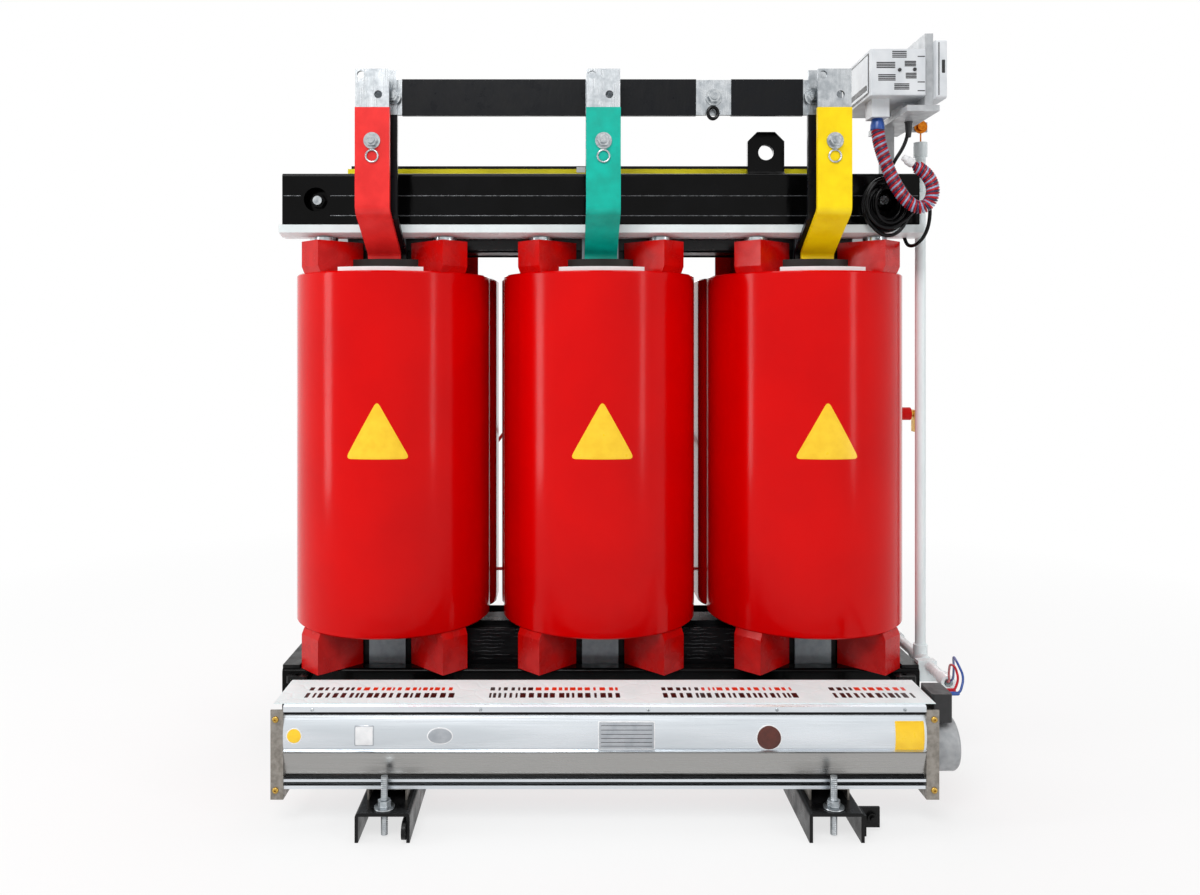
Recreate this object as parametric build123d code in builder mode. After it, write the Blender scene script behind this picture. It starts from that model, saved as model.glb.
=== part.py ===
"""Three-phase cast-resin dry type transformer with its cross-flow cooling fan.

X runs along the row of coils, Y from the low-voltage front to the high-voltage back,
Z up from the floor. The origin is on the floor under the axis of the middle coil.
All sizes are in millimetres.
"""
from build123d import *
import os
from math import radians, sqrt, tan

os.makedirs("parts", exist_ok=True)

# ---------------------------------------------------------------- driving dimensions
PHASE_PITCH = 387.0         # distance between coil axes
CORE_R = 82.0               # circle that the stepped core legs fill
PACKET_SHARES = (0.939, 0.817, 0.634, 0.427)   # packet width over the core circle's diameter
YOKE_RISE = 8.0             # how much taller a yoke packet is than its leg is wide
COIL_LENGTH = 635.0         # height of the high-voltage coils
COIL_YOKE_GAP = 10.0        # lower yoke to coil foot
COIL_TOP_GAP = 44.0         # coil top to upper yoke

BASE_RAIL_GAUGE = 660.0     # between the centres of the two base rails
BASE_RAIL_L = 870.0
BASE_RAIL_W = 80.0
BASE_RAIL_H = 43.0
BASE_RAIL_T = 5.0
BASE_RAIL_CORNER = 6.0

CLAMP_L = 1138.0            # length of the four yoke clamps
CLAMP_D = 32.0
CLAMP_T = 4.0
CLAMP_CORNER = 6.0
LOWER_CLAMP_H = 100.0
UPPER_CLAMP_H = 94.0
BOARD_T = 2.0               # yellow insulation board beside each yoke
BOARD_OVERHANG = 14.0       # how far it stands above the upper clamp
BOARD_L = 920.0
TIE_T = 5.0
TIE_W = 66.0

HV_R = 180.0                # front half of a high-voltage coil
HV_BORE_R = 130.0
HV_BACK_HALF = 188.0        # half width of the squared back
HV_BACK_START = 20.0
HV_BACK_Y = 185.0
HV_BACK_CORNER = 52.0
HV_EDGE = 2.5
LV_R_IN = 92.0
LV_R_OUT = 114.0
LV_RISE = 25.0              # low-voltage coil stands above the high-voltage one
GUARD_R_IN = 152.0
GUARD_R_OUT = 165.0
GUARD_HALF_ANGLE = 27.0
GUARD_H = 8.0

BLOCK_W = 55.0              # support block, across the diagonal
BLOCK_R = 182.0             # its outer face
BLOCK_BEVEL = 11.0
BLOCK_BEVEL_IN = 5.0
UPPER_BLOCK_H = 56.0
DISC_R = 21.0
DISC_H = 8.0
PRESS_SCREW_R = 8.0
PRESS_X = 107.0             # pressure screws, either side of a coil axis
PRESS_RAIL_L = 1140.0
PRESS_RAIL_D = 50.0
PRESS_RAIL_H = 20.0
PRESS_RAIL_T = 3.0
PRESS_RAIL_BEVEL_Y = 23.0
PRESS_RAIL_BEVEL_Z = 6.0

STUD_R = 8.0                # through studs that pull the clamps together
STUD_X = 509.0
STUD_NUT_R = 13.5
STUD_NUT_H = 12.0
ACCESS_R = 21.5
HOLE_CLEARANCE = 0.5
RUNNING_GAP = 0.1           # between the fan shaft and its bearings

LUG_X = 297.0
REAR_LUG_X = -440.0
LUG_W = 66.0
LUG_T = 10.0
LUG_H = 76.0
LUG_CHAMFER = 17.0
LUG_HOLE_R = 13.7
LUG_HOLE_DROP = 37.0
LUG_BEAD = 5.0

BAR_W = 56.0                # low-voltage bars
BAR_T = 6.0
SLEEVE_T = 1.0
BAR_FOOT_Y = -108.5
BAR_FRONT_Y = -218.0
BAR_RUN_Z = 10.0            # straight foot between the low-voltage coil and the first bend
BAR_RISE = 62.0             # height won along the slanted stretch
BAR_TOP_Z = 1184.0
BAR_BARE = 64.5
BAR_BEND_R = 14.0
RISER_FOOT_Y = -95.0
RISER_BEHIND = 31.0
RISER_FOOT_RAISE = 3.0
RISER_RISE = 53.0
RISER_SHIFT = 8.0           # outer risers sit this far towards the middle
RISER_TOP_Z = 1190.0
RISER_BARE = 76.0
BAR_HOLE_R = 6.7
BAR_HOLES = ((-19.0, 10.0), (10.0, 43.0))      # across the bar, below its top
BOLT_DROP = 121.0           # phase bolt below the bar's top
BOLT_R = 6.0
BOLT_HEAD_R = 10.4
BOLT_HEAD_H = 7.5
WASHER_R = 14.0
WASHER_T = 2.5
STANDOFF_W = 40.0
STANDOFF_H = 36.0
NEUTRAL_H = 60.0
NEUTRAL_T = 6.0
NEUTRAL_Z = 1145.0
NEUTRAL_OVER_LEFT = 13.0
NEUTRAL_OVER_RIGHT = 23.0
NEUTRAL_BOLT_IN = 21.0
NEUTRAL_BARE_X = 190.0
NEUTRAL_BARE_W = 60.0
NEUTRAL_END_BARE = 37.0
NEUTRAL_MID_BARE = 60.0
RING_WIRE_R = 1.6
RING_R = 10.0

# cross-flow fan
FAN_X0 = -502.0
FAN_X1 = 491.0
FAN_END_W = 19.0
FAN_END_T = 3.0
FAN_END_Z0 = 47.0
FAN_END_Z1 = 180.0
FAN_SET_BACK = 33.0            # front of the fan behind the rails' front ends
FAN_DEPTH = 112.0
FAN_AXIS_IN = 62.0             # wheel axis behind the fan's front
FAN_FRONT_Y = -BASE_RAIL_L / 2 + FAN_SET_BACK
FAN_BACK_Y = FAN_FRONT_Y + FAN_DEPTH
FAN_AXIS_Y = FAN_FRONT_Y + FAN_AXIS_IN
FAN_AXIS_Z = 108.0
WHEEL_R = 38.0
WHEEL_GAP = 4.0
WHEEL_BLADES = 24
WHEEL_DISCS = 6
FAN_BOTTOM_Z = 62.0
FAN_TOP_Z = 187.0
FILM_T = 1.0
FILM_Y0 = FAN_FRONT_Y + 6
FILM_Y1 = FAN_BACK_Y - 7
MOTOR_R = 42.0
MOTOR_L = 43.0
FOOT_W = 60.0
TERMINAL_BOX = (31.0, 50.0, 43.0)

# conduit and controller
PIPE_R = 9.5
SOCKET_R = 12.5
PIPE_X = 590.0
PIPE_Y = -60.0
PIPE_Z0 = 145.0
PIPE_Z1 = 1093.0
SOCKET_L = 26.0
BRANCH_FRONT_Y = -190.0
BRANCH_BACK_Y = 80.0
CLIP_L = 18.0
POST_X = 515.0
POST_W = 20.0
POST_Y = -40.0
POST_D = 26.0
SHELF_Z = 1111.0
SHELF_T = 10.0
SHELF_X0 = 505.0
SHELF_X1 = 559.0
SHELF_Y0 = -230.0
SHELF_Y1 = -27.0
BODY_X0 = 445.0
BODY_X1 = 538.0
BODY_Y0 = -227.0
BODY_Y1 = -62.0
BODY_Z0 = 1138.0
BODY_Z1 = 1215.0
BRACKET_T = 14.0
BRACKET_Z1 = 1243.0
BEZEL_T = 18.0
CORD_R = 11.5
CABLE_R = 3.2
LEAD_R = 1.8

# high-voltage side
TERMINAL_Z_IN = 85.0        # from the coil's end to its terminal
TERMINAL_X = 70.0
TERMINAL_BOSS_R = 24.0
TERMINAL_BOSS_L = 38.0
LINK_R = 6.0
TAP_PITCH_X = 46.0
TAP_PITCH_Z = 60.0
TAP_ROWS = 3
TAP_R = 5.0
PAD_T = 10.0                # tap panel on each coil's back
PAD_W = 110.0
PAD_H = 190.0
TAP_NUT_R = 8.0
KNOB_Z = 582.0
KNOB_X = 640.0
KNOB_Y = 110.0
ARM_R = 13.0

# ---------------------------------------------------------------- derived places
PHASES = (("left", -PHASE_PITCH), ("middle", 0.0), ("right", PHASE_PITCH))
SIDES = (("front", -1), ("rear", 1))


def core_packets():
    """Width, inner |Y| and outer |Y| of each lamination packet, from the middle outwards."""
    packets = []
    inner = 0.0
    for share in PACKET_SHARES:
        outer = CORE_R * sqrt(1 - share ** 2)
        packets.append((2 * CORE_R * share, inner, outer))
        inner = outer
    return packets


PACKETS = core_packets()
CORE_HALF_STACK = PACKETS[-1][2]
YOKE_H = PACKETS[0][0] + YOKE_RISE
BASE_TOP = BASE_RAIL_H
LOWER_YOKE_Z = BASE_TOP + YOKE_H / 2
COIL_Z0 = BASE_TOP + YOKE_H + COIL_YOKE_GAP
COIL_Z1 = COIL_Z0 + COIL_LENGTH
UPPER_YOKE_Z = COIL_Z1 + COIL_TOP_GAP + YOKE_H / 2
LOWER_CLAMP_TOP = BASE_TOP + LOWER_CLAMP_H
LOWER_BLOCK_H = COIL_Z0 - LOWER_CLAMP_TOP
DISC_Z0 = COIL_Z1 + UPPER_BLOCK_H
RAIL_Z0 = DISC_Z0 + DISC_H
UPPER_CLAMP_Z0 = RAIL_Z0 + PRESS_RAIL_H
UPPER_CLAMP_TOP = UPPER_CLAMP_Z0 + UPPER_CLAMP_H
UPPER_STUD_Z = UPPER_CLAMP_Z0 + UPPER_CLAMP_H / 2
LOWER_STUD_Z = BASE_TOP + LOWER_CLAMP_H / 2
TIE_Y = CORE_HALF_STACK + BOARD_T
CLAMP_Y = TIE_Y + TIE_T
CLAMP_FACE_Y = CLAMP_Y + CLAMP_D
CLAMP_MID_Y = CLAMP_Y + CLAMP_D / 2
LV_TOP = COIL_Z1 + LV_RISE
BASE_X = BASE_RAIL_GAUGE / 2
COIL_MID_Z = (COIL_Z0 + COIL_Z1) / 2
BOSS_END_Y = HV_BACK_Y + TERMINAL_BOSS_L
TERMINAL_UP_Z = COIL_Z1 - TERMINAL_Z_IN
TERMINAL_LOW_Z = COIL_Z0 + TERMINAL_Z_IN
DIAGONAL = sqrt(0.5)


def along_y(x, y, z):
    """Place whose Z axis lies along the model's Y axis."""
    return Location((x, y, z), (90, 0, 0))


def along_x(x, y, z):
    """Place whose Z axis lies along the model's X axis."""
    return Location((x, y, z), (0, 90, 0))


def fillet_radii(points):
    """Largest arcs for a lying cord: 0.45 of the shorter run over tan(half the turn)."""
    radii = []
    for before, here, after in zip(points, points[1:], points[2:]):
        run_in = Vector(*here) - Vector(*before)
        run_out = Vector(*after) - Vector(*here)
        half_turn = radians(run_in.get_angle(run_out)) / 2
        radii.append(0.45 * min(run_in.length, run_out.length) / tan(half_turn))
    return radii


def cord_tube(points, radius):
    """Round tube along straight runs joined by tangent arcs, in the active part."""
    radii = fillet_radii(points)
    with BuildLine() as route:
        FilletPolyline(*points, radius=radii)
    start = route.line @ 0
    with BuildSketch(Plane(origin=start, z_dir=route.line % 0)) as section:
        Circle(radius)
    sweep(section.sketch, path=route.line)
    return radii


def save(part, name):
    """Label a finished piece and write its STEP file."""
    part.label = name
    export_step(part, f"parts/{name}.step")


# ---------------------------------------------------------------- base
for side_name, side in (("left", -1), ("right", 1)):
    with BuildPart() as base_rail:
        with BuildSketch(Plane.XZ) as channel:
            with Locations((side * BASE_X, BASE_RAIL_H / 2)):
                Rectangle(BASE_RAIL_W, BASE_RAIL_H)
            fillet(channel.vertices().group_by(Axis.Y)[-1], BASE_RAIL_CORNER)
            with Locations((side * BASE_X, (BASE_RAIL_H - BASE_RAIL_T) / 2)):
                Rectangle(
                    BASE_RAIL_W - 2 * BASE_RAIL_T, BASE_RAIL_H - BASE_RAIL_T, mode=Mode.SUBTRACT
                )
        extrude(amount=BASE_RAIL_L / 2, both=True)
        end_hole_y = BASE_RAIL_L / 2 - 18
        with Locations(
            (side * BASE_X, -end_hole_y, BASE_TOP), (side * BASE_X, end_hole_y, BASE_TOP)
        ):
            Hole(5 + HOLE_CLEARANCE)
        with Locations(
            (side * BASE_X, -CLAMP_MID_Y, BASE_TOP), (side * BASE_X, CLAMP_MID_Y, BASE_TOP)
        ):
            Hole(STUD_R + HOLE_CLEARANCE)
    save(base_rail.part, f"base_rail_{side_name}")

# bolts that hold the lower clamps on the base rails, heads inside the channel
with BuildPart() as base_bolts:
    for side in (-1, 1):
        for end in (-1, 1):
            web_under = BASE_TOP - BASE_RAIL_T
            clamp_floor = BASE_TOP + CLAMP_T
            with BuildSketch(Plane.XY.offset(web_under - BOLT_HEAD_H)):
                with Locations((side * BASE_X, end * CLAMP_MID_Y)):
                    RegularPolygon(STUD_NUT_R, 6)
            extrude(amount=BOLT_HEAD_H)
            with BuildSketch(Plane.XY.offset(web_under)):
                with Locations((side * BASE_X, end * CLAMP_MID_Y)):
                    Circle(STUD_R)
            extrude(amount=clamp_floor - web_under + STUD_NUT_H + 5)
            with BuildSketch(Plane.XY.offset(clamp_floor)):
                with Locations((side * BASE_X, end * CLAMP_MID_Y)):
                    RegularPolygon(STUD_NUT_R - 2, 6)
            extrude(amount=STUD_NUT_H)
save(base_bolts.part, "base_bolts")

# threaded anchor studs at the front ends of the base rails
ANCHOR_R = 5.0
ANCHOR_BOTTOM = 4.0
ANCHOR_TOP = 89.0
ANCHOR_WASHER_R = 15.0
with BuildPart() as anchor_studs:
    for side in (-1, 1):
        place = (side * BASE_X, -end_hole_y)
        with BuildSketch(Plane.XY.offset(ANCHOR_BOTTOM)):
            with Locations(place):
                Circle(ANCHOR_R)
        extrude(amount=ANCHOR_TOP - ANCHOR_BOTTOM)
        with BuildSketch(Plane.XY.offset(BASE_TOP)):
            with Locations(place):
                Circle(ANCHOR_WASHER_R)
        extrude(amount=WASHER_T)
        with BuildSketch(Plane.XY.offset(BASE_TOP + WASHER_T)):
            with Locations(place):
                RegularPolygon(9.5, 6)
        extrude(amount=9)
save(anchor_studs.part, "anchor_studs")

# earth angle on the right rail and towing tongue in the left rail
EARTH_H = 36.0
with BuildPart() as base_lugs:
    rail_side = BASE_X + BASE_RAIL_W / 2
    tab_y = -BASE_RAIL_L / 2 + 20
    with BuildSketch(Plane.XY.offset(BASE_RAIL_H - EARTH_H)):
        with Locations((rail_side + 2, tab_y)):
            Rectangle(4, 30)
        with Locations((rail_side + 18, tab_y + 13)):
            Rectangle(28, 4)
    extrude(amount=EARTH_H - BASE_RAIL_CORNER)
    with Locations(along_y(rail_side + 20, tab_y + 13, BASE_RAIL_H - EARTH_H / 2 - 3)):
        Cylinder(4.5, 8, mode=Mode.SUBTRACT)
        Cylinder(4.0, 22)
    with Locations(along_y(rail_side + 20, tab_y + 8.5, BASE_RAIL_H - EARTH_H / 2 - 3)):
        Cylinder(7.5, 5)
    tongue_x = -BASE_X + BASE_RAIL_W / 2 - BASE_RAIL_T - 3
    tongue_end = -BASE_RAIL_L / 2 - 12
    with BuildSketch(Plane.YZ.offset(tongue_x - 3)):
        with Locations((tongue_end + 40, BASE_RAIL_H / 2 - 3)):
            SlotOverall(80, 26)
        with Locations((tongue_end + 13, BASE_RAIL_H / 2 - 3)):
            Circle(6, mode=Mode.SUBTRACT)
    extrude(amount=6)
save(base_lugs.part, "base_lugs")


# ---------------------------------------------------------------- clamps, ties and studs
def yoke_clamp(side, z0, height):
    """Closed rectangular tube beside a yoke, with access holes for the end studs."""
    mid_z = z0 + height / 2
    with BuildSketch(Plane.YZ) as tube:
        with Locations((side * CLAMP_MID_Y, mid_z)):
            RectangleRounded(CLAMP_D, height, CLAMP_CORNER)
    extrude(tube.sketch, amount=CLAMP_L / 2, both=True)
    with BuildSketch(Plane.YZ) as hollow:
        with Locations((side * CLAMP_MID_Y, mid_z)):
            RectangleRounded(
                CLAMP_D - 2 * CLAMP_T, height - 2 * CLAMP_T, max(CLAMP_CORNER - CLAMP_T, 0.5)
            )
    extrude(hollow.sketch, amount=CLAMP_L / 2 - CLAMP_T, both=True, mode=Mode.SUBTRACT)
    with Locations(*[along_y(x, side * CLAMP_MID_Y, mid_z) for x in (-STUD_X, STUD_X)]):
        Cylinder(STUD_R + HOLE_CLEARANCE, CLAMP_D + 2, mode=Mode.SUBTRACT)
    outer_wall = side * (CLAMP_FACE_Y - CLAMP_T / 2)
    with Locations(*[along_y(x, outer_wall, mid_z) for x in (-STUD_X, STUD_X)]):
        Cylinder(ACCESS_R, CLAMP_T + 2, mode=Mode.SUBTRACT)


def press_places():
    """Plan positions of the twelve pressure discs, on the diagonals of the coils."""
    places = []
    for _, x in PHASES:
        for sx in (-1, 1):
            for sy in (-1, 1):
                places.append((x + sx * PRESS_X, sy * CLAMP_MID_Y))
    return places


for side_name, side in SIDES:
    with BuildPart() as lower_clamp:
        yoke_clamp(side, BASE_TOP, LOWER_CLAMP_H)
        with Locations(
            (-BASE_X, side * CLAMP_MID_Y, BASE_TOP + CLAMP_T / 2),
            (BASE_X, side * CLAMP_MID_Y, BASE_TOP + CLAMP_T / 2),
        ):
            Cylinder(STUD_R + HOLE_CLEARANCE, CLAMP_T + 2, mode=Mode.SUBTRACT)
    save(lower_clamp.part, f"lower_clamp_{side_name}")

    with BuildPart() as upper_clamp:
        yoke_clamp(side, UPPER_CLAMP_Z0, UPPER_CLAMP_H)
        for x, y in press_places():
            if y * side > 0:
                with Locations((x, y, UPPER_CLAMP_Z0 + CLAMP_T / 2)):
                    Cylinder(PRESS_SCREW_R + HOLE_CLEARANCE, CLAMP_T + 2, mode=Mode.SUBTRACT)
    save(upper_clamp.part, f"upper_clamp_{side_name}")

    with BuildPart() as pressure_rail:
        with BuildSketch(Plane.YZ) as rail_section:
            inner, outer = CLAMP_Y, CLAMP_Y + PRESS_RAIL_D
            with BuildLine():
                Polyline(
                    (side * inner, RAIL_Z0),
                    (side * (outer - PRESS_RAIL_BEVEL_Y), RAIL_Z0),
                    (side * outer, RAIL_Z0 + PRESS_RAIL_BEVEL_Z),
                    (side * outer, UPPER_CLAMP_Z0),
                    (side * inner, UPPER_CLAMP_Z0),
                    close=True,
                )
            make_face()
            offset(amount=-PRESS_RAIL_T, kind=Kind.INTERSECTION, mode=Mode.SUBTRACT)
        extrude(amount=PRESS_RAIL_L / 2, both=True)
        for x, y in press_places():
            if y * side > 0:
                with Locations((x, y, RAIL_Z0 + PRESS_RAIL_H / 2)):
                    Cylinder(PRESS_SCREW_R + HOLE_CLEARANCE, PRESS_RAIL_H + 2, mode=Mode.SUBTRACT)
    save(pressure_rail.part, f"pressure_rail_{side_name}")

# cross plates that close the ends of the lower clamps, and angle lugs on their front
END_PLATE_W = 30.0
END_PLATE_T = 6.0
TAB_W = 37.0
TAB_H = 12.0
TAB_REACH = 24.0
with BuildPart() as end_plates:
    for end in (-1, 1):
        with BuildSketch(Plane.XY.offset(LOWER_CLAMP_TOP)):
            with Locations((end * (CLAMP_L - END_PLATE_W) / 2, 0)):
                Rectangle(END_PLATE_W, 2 * CLAMP_FACE_Y - 8)
        extrude(amount=END_PLATE_T)
        tab_x = end * (CLAMP_L / 2 - 32)
        for side in (-1, 1):
            with BuildSketch(Plane.XY.offset(LOWER_CLAMP_TOP - CLAMP_CORNER - TAB_H)) as tab:
                with Locations((tab_x, side * (CLAMP_FACE_Y + TAB_REACH / 2))):
                    Rectangle(TAB_W, TAB_REACH)
                outer_corners = tab.vertices().sort_by(Axis.Y)
                fillet(outer_corners[:2] if side < 0 else outer_corners[-2:], 6)
                with Locations((tab_x, side * (CLAMP_FACE_Y + TAB_REACH / 2))):
                    Circle(5, mode=Mode.SUBTRACT)
            extrude(amount=TAB_H)
save(end_plates.part, "end_plates")


def clamp_stud(x, z):
    """Stud from inside one clamp to inside the other, with a nut and washer at each end."""
    wall = CLAMP_Y + CLAMP_T
    reach = wall + WASHER_T + STUD_NUT_H + 4
    with Locations(along_y(x, 0, z)):
        Cylinder(STUD_R, 2 * reach)
    for side in (-1, 1):
        with Locations(along_y(x, side * (wall + WASHER_T / 2), z)):
            Cylinder(STUD_NUT_R + 3, WASHER_T)
        with BuildSketch(Plane.XZ.offset(-side * (wall + WASHER_T))) as nut:
            with Locations((x, z)):
                RegularPolygon(STUD_NUT_R, 6)
        extrude(nut.sketch, amount=-side * STUD_NUT_H)


with BuildPart() as clamp_studs:
    for end in (-1, 1):
        clamp_stud(end * STUD_X, UPPER_STUD_Z)
        clamp_stud(end * STUD_X, LOWER_STUD_Z)
save(clamp_studs.part, "clamp_studs")

# flat ties beside each leg, from the lower clamps to the upper ones
with BuildPart() as tie_plates:
    for _, x in PHASES:
        for side in (-1, 1):
            with BuildSketch(Plane.XY.offset(BASE_TOP)):
                with Locations((x, side * (TIE_Y + TIE_T / 2))):
                    Rectangle(TIE_W, TIE_T)
            extrude(amount=UPPER_CLAMP_TOP - BASE_TOP)
save(tie_plates.part, "tie_plates")

# insulation boards between the yokes and the ties
with BuildPart() as yoke_boards:
    for side in (-1, 1):
        board_y = side * (CORE_HALF_STACK + BOARD_T / 2)
        upper_foot = UPPER_YOKE_Z - YOKE_H / 2
        with BuildSketch(Plane.XY.offset(upper_foot)):
            with Locations((0, board_y)):
                Rectangle(BOARD_L, BOARD_T)
        extrude(amount=UPPER_CLAMP_TOP + BOARD_OVERHANG - upper_foot)
        with BuildSketch(Plane.XY.offset(BASE_TOP)):
            with Locations((0, board_y)):
                Rectangle(BOARD_L, BOARD_T)
        extrude(amount=YOKE_H)
save(yoke_boards.part, "yoke_boards")

# ---------------------------------------------------------------- core
for yoke_name, yoke_z in (("bottom", LOWER_YOKE_Z), ("top", UPPER_YOKE_Z)):
    with BuildPart() as yoke:
        for width, y_in, y_out in PACKETS:
            for side in (-1, 1):
                with Locations((0, side * (y_in + y_out) / 2, yoke_z)):
                    Box(2 * PHASE_PITCH + width, y_out - y_in, width + YOKE_RISE)
    save(yoke.part, f"core_yoke_{yoke_name}")

for phase, x in PHASES:
    with BuildPart() as leg:
        for width, y_in, y_out in PACKETS:
            foot = LOWER_YOKE_Z + (width + YOKE_RISE) / 2
            head = UPPER_YOKE_Z - (width + YOKE_RISE) / 2
            for side in (-1, 1):
                with Locations((x, side * (y_in + y_out) / 2, (foot + head) / 2)):
                    Box(width, y_out - y_in, head - foot)
    save(leg.part, f"core_leg_{phase}")

# ---------------------------------------------------------------- coils
def terminal_places(x):
    """Upper terminal on the left of a coil's back, lower terminal on its right."""
    return ((x - TERMINAL_X, TERMINAL_UP_Z), (x + TERMINAL_X, TERMINAL_LOW_Z))


for phase, x in PHASES:
    with BuildPart() as hv_coil:
        with BuildSketch(Plane.XY.offset(COIL_Z0)):
            with Locations((x, 0)):
                Circle(HV_R)
            with Locations((x, (HV_BACK_START + HV_BACK_Y) / 2)):
                RectangleRounded(2 * HV_BACK_HALF, HV_BACK_Y - HV_BACK_START, HV_BACK_CORNER)
            with Locations((x, 0)):
                Circle(HV_BORE_R, mode=Mode.SUBTRACT)
        extrude(amount=COIL_LENGTH)
        end_faces = hv_coil.faces().filter_by(Axis.Z)
        chamfer(end_faces.edges(), HV_EDGE)
        for place_x, place_z in terminal_places(x):
            with Locations(along_y(place_x, HV_BACK_Y + TERMINAL_BOSS_L / 2, place_z)):
                Cylinder(TERMINAL_BOSS_R, TERMINAL_BOSS_L)
        with Locations((x, HV_BACK_Y + PAD_T / 2, COIL_MID_Z)):
            Box(PAD_W, PAD_T, PAD_H)
        if phase == "right":
            arm_x0 = x + HV_BACK_HALF
            with Locations(along_x((arm_x0 + KNOB_X - 8) / 2, KNOB_Y, KNOB_Z)):
                Cylinder(ARM_R, KNOB_X - 8 - arm_x0)
    save(hv_coil.part, f"hv_coil_{phase}")

    with BuildPart() as lv_coil:
        with BuildSketch(Plane.XY.offset(COIL_Z0)):
            with Locations((x, 0)):
                Circle(LV_R_OUT)
                Circle(LV_R_IN, mode=Mode.SUBTRACT)
        extrude(amount=LV_TOP - COIL_Z0)
    save(lv_coil.part, f"lv_coil_{phase}")

with BuildPart() as coil_guards:
    for _, x in PHASES:
        first = 270 - GUARD_HALF_ANGLE
        reach = 2 * GUARD_HALF_ANGLE
        with BuildSketch(Plane.XY.offset(COIL_Z1)):
            with BuildLine():
                outer_arc = CenterArc((x, 0), GUARD_R_OUT, first, reach)
                inner_arc = CenterArc((x, 0), GUARD_R_IN, first, reach)
                Line(outer_arc @ 0, inner_arc @ 0)
                Line(outer_arc @ 1, inner_arc @ 1)
            make_face()
        extrude(amount=GUARD_H)
save(coil_guards.part, "coil_guards")


def block_outline(x, sx, sy):
    """Plan of a support block on a coil's diagonal, cut off square beside the clamp."""
    half = BLOCK_W / 2
    near = (BLOCK_R - half) * DIAGONAL
    far = (BLOCK_R + half) * DIAGONAL
    shift = BLOCK_W * DIAGONAL
    cut = CLAMP_Y + 1.5
    corners = ((cut - shift, cut), (near, far), (far, near), (cut + shift, cut))
    return [(x + sx * a, sy * b) for a, b in corners]


FAR_OUT = 500.0                # well outside a block, to find the face that looks away


def support_block(x, sx, sy, z0, height, bevel_at_top):
    """Resin block with a bevelled lip at the end that carries the coil."""
    with BuildPart(mode=Mode.PRIVATE) as block:
        with BuildSketch(Plane.XY.offset(z0)):
            with BuildLine():
                Polyline(*block_outline(x, sx, sy), close=True)
            make_face()
        extrude(amount=height)
        level = block.faces().sort_by(Axis.Z)[-1 if bevel_at_top else 0]
        outward = Vector(x + sx * FAR_OUT, sy * FAR_OUT, z0 + height / 2)
        lip = level.edges().sort_by_distance(outward)[0]
        face = block.faces().sort_by_distance(outward)[0]
        chamfer(lip, BLOCK_BEVEL, BLOCK_BEVEL_IN, reference=face)
    return block.part


for level_name, z0, height, at_top in (
    ("lower", LOWER_CLAMP_TOP, LOWER_BLOCK_H, True),
    ("upper", COIL_Z1, UPPER_BLOCK_H, False),
):
    with BuildPart() as support_blocks:
        for _, x in PHASES:
            for sx in (-1, 1):
                for sy in (-1, 1):
                    add(support_block(x, sx, sy, z0, height, at_top))
            if not at_top:
                with Locations((x, 0, (COIL_Z1 + LV_TOP) / 2)):
                    Cylinder(LV_R_OUT, LV_RISE, mode=Mode.SUBTRACT)
    save(support_blocks.part, f"support_blocks_{level_name}")

# pressure discs with their screws, which run up through the rail into the clamp
SCREW_END = 26.0
with BuildPart() as press_screws:
    for x, y in press_places():
        with Locations((x, y, DISC_Z0 + DISC_H / 2)):
            Cylinder(DISC_R, DISC_H)
        screw_top = UPPER_CLAMP_Z0 + SCREW_END
        with Locations((x, y, (RAIL_Z0 + screw_top) / 2)):
            Cylinder(PRESS_SCREW_R, screw_top - RAIL_Z0)
save(press_screws.part, "press_screws")


def lifting_lug(x, y):
    """Plate with chamfered shoulders and a hook hole, welded on an upper clamp."""
    with BuildSketch(Plane.XZ.offset(-y - LUG_T / 2)) as plate:
        with Locations((x, UPPER_CLAMP_TOP + LUG_H / 2)):
            Rectangle(LUG_W, LUG_H)
        chamfer(plate.vertices().group_by(Axis.Y)[-1], LUG_CHAMFER)
        with Locations((x, UPPER_CLAMP_TOP + LUG_H - LUG_HOLE_DROP)):
            Circle(LUG_HOLE_R, mode=Mode.SUBTRACT)
    extrude(plate.sketch, amount=LUG_T)
    with BuildSketch(Plane.YZ.offset(x - LUG_W / 2)) as beads:
        for side in (-1, 1):
            with BuildLine():
                Polyline(
                    (y + side * LUG_T / 2, UPPER_CLAMP_TOP),
                    (y + side * (LUG_T / 2 + LUG_BEAD), UPPER_CLAMP_TOP),
                    (y + side * LUG_T / 2, UPPER_CLAMP_TOP + LUG_BEAD),
                    close=True,
                )
            make_face()
    extrude(beads.sketch, amount=LUG_W)


with BuildPart() as lifting_lugs:
    lifting_lug(LUG_X, -CLAMP_MID_Y)
    lifting_lug(REAR_LUG_X, CLAMP_MID_Y)
save(lifting_lugs.part, "lifting_lugs")

# ---------------------------------------------------------------- low-voltage bars
BAR_BEND_Z = LV_TOP + BAR_RUN_Z
RISER_Y = BAR_FRONT_Y + RISER_BEHIND
RISER_BEND_Z = BAR_BEND_Z + RISER_FOOT_RAISE
BAR_ROUTE = (
    (BAR_FOOT_Y, LV_TOP),
    (BAR_FOOT_Y, BAR_BEND_Z),
    (BAR_FRONT_Y, BAR_BEND_Z + BAR_RISE),
)
RISER_ROUTE = (
    (RISER_FOOT_Y, LV_TOP),
    (RISER_FOOT_Y, RISER_BEND_Z),
    (RISER_Y, RISER_BEND_Z + RISER_RISE),
)


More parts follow.
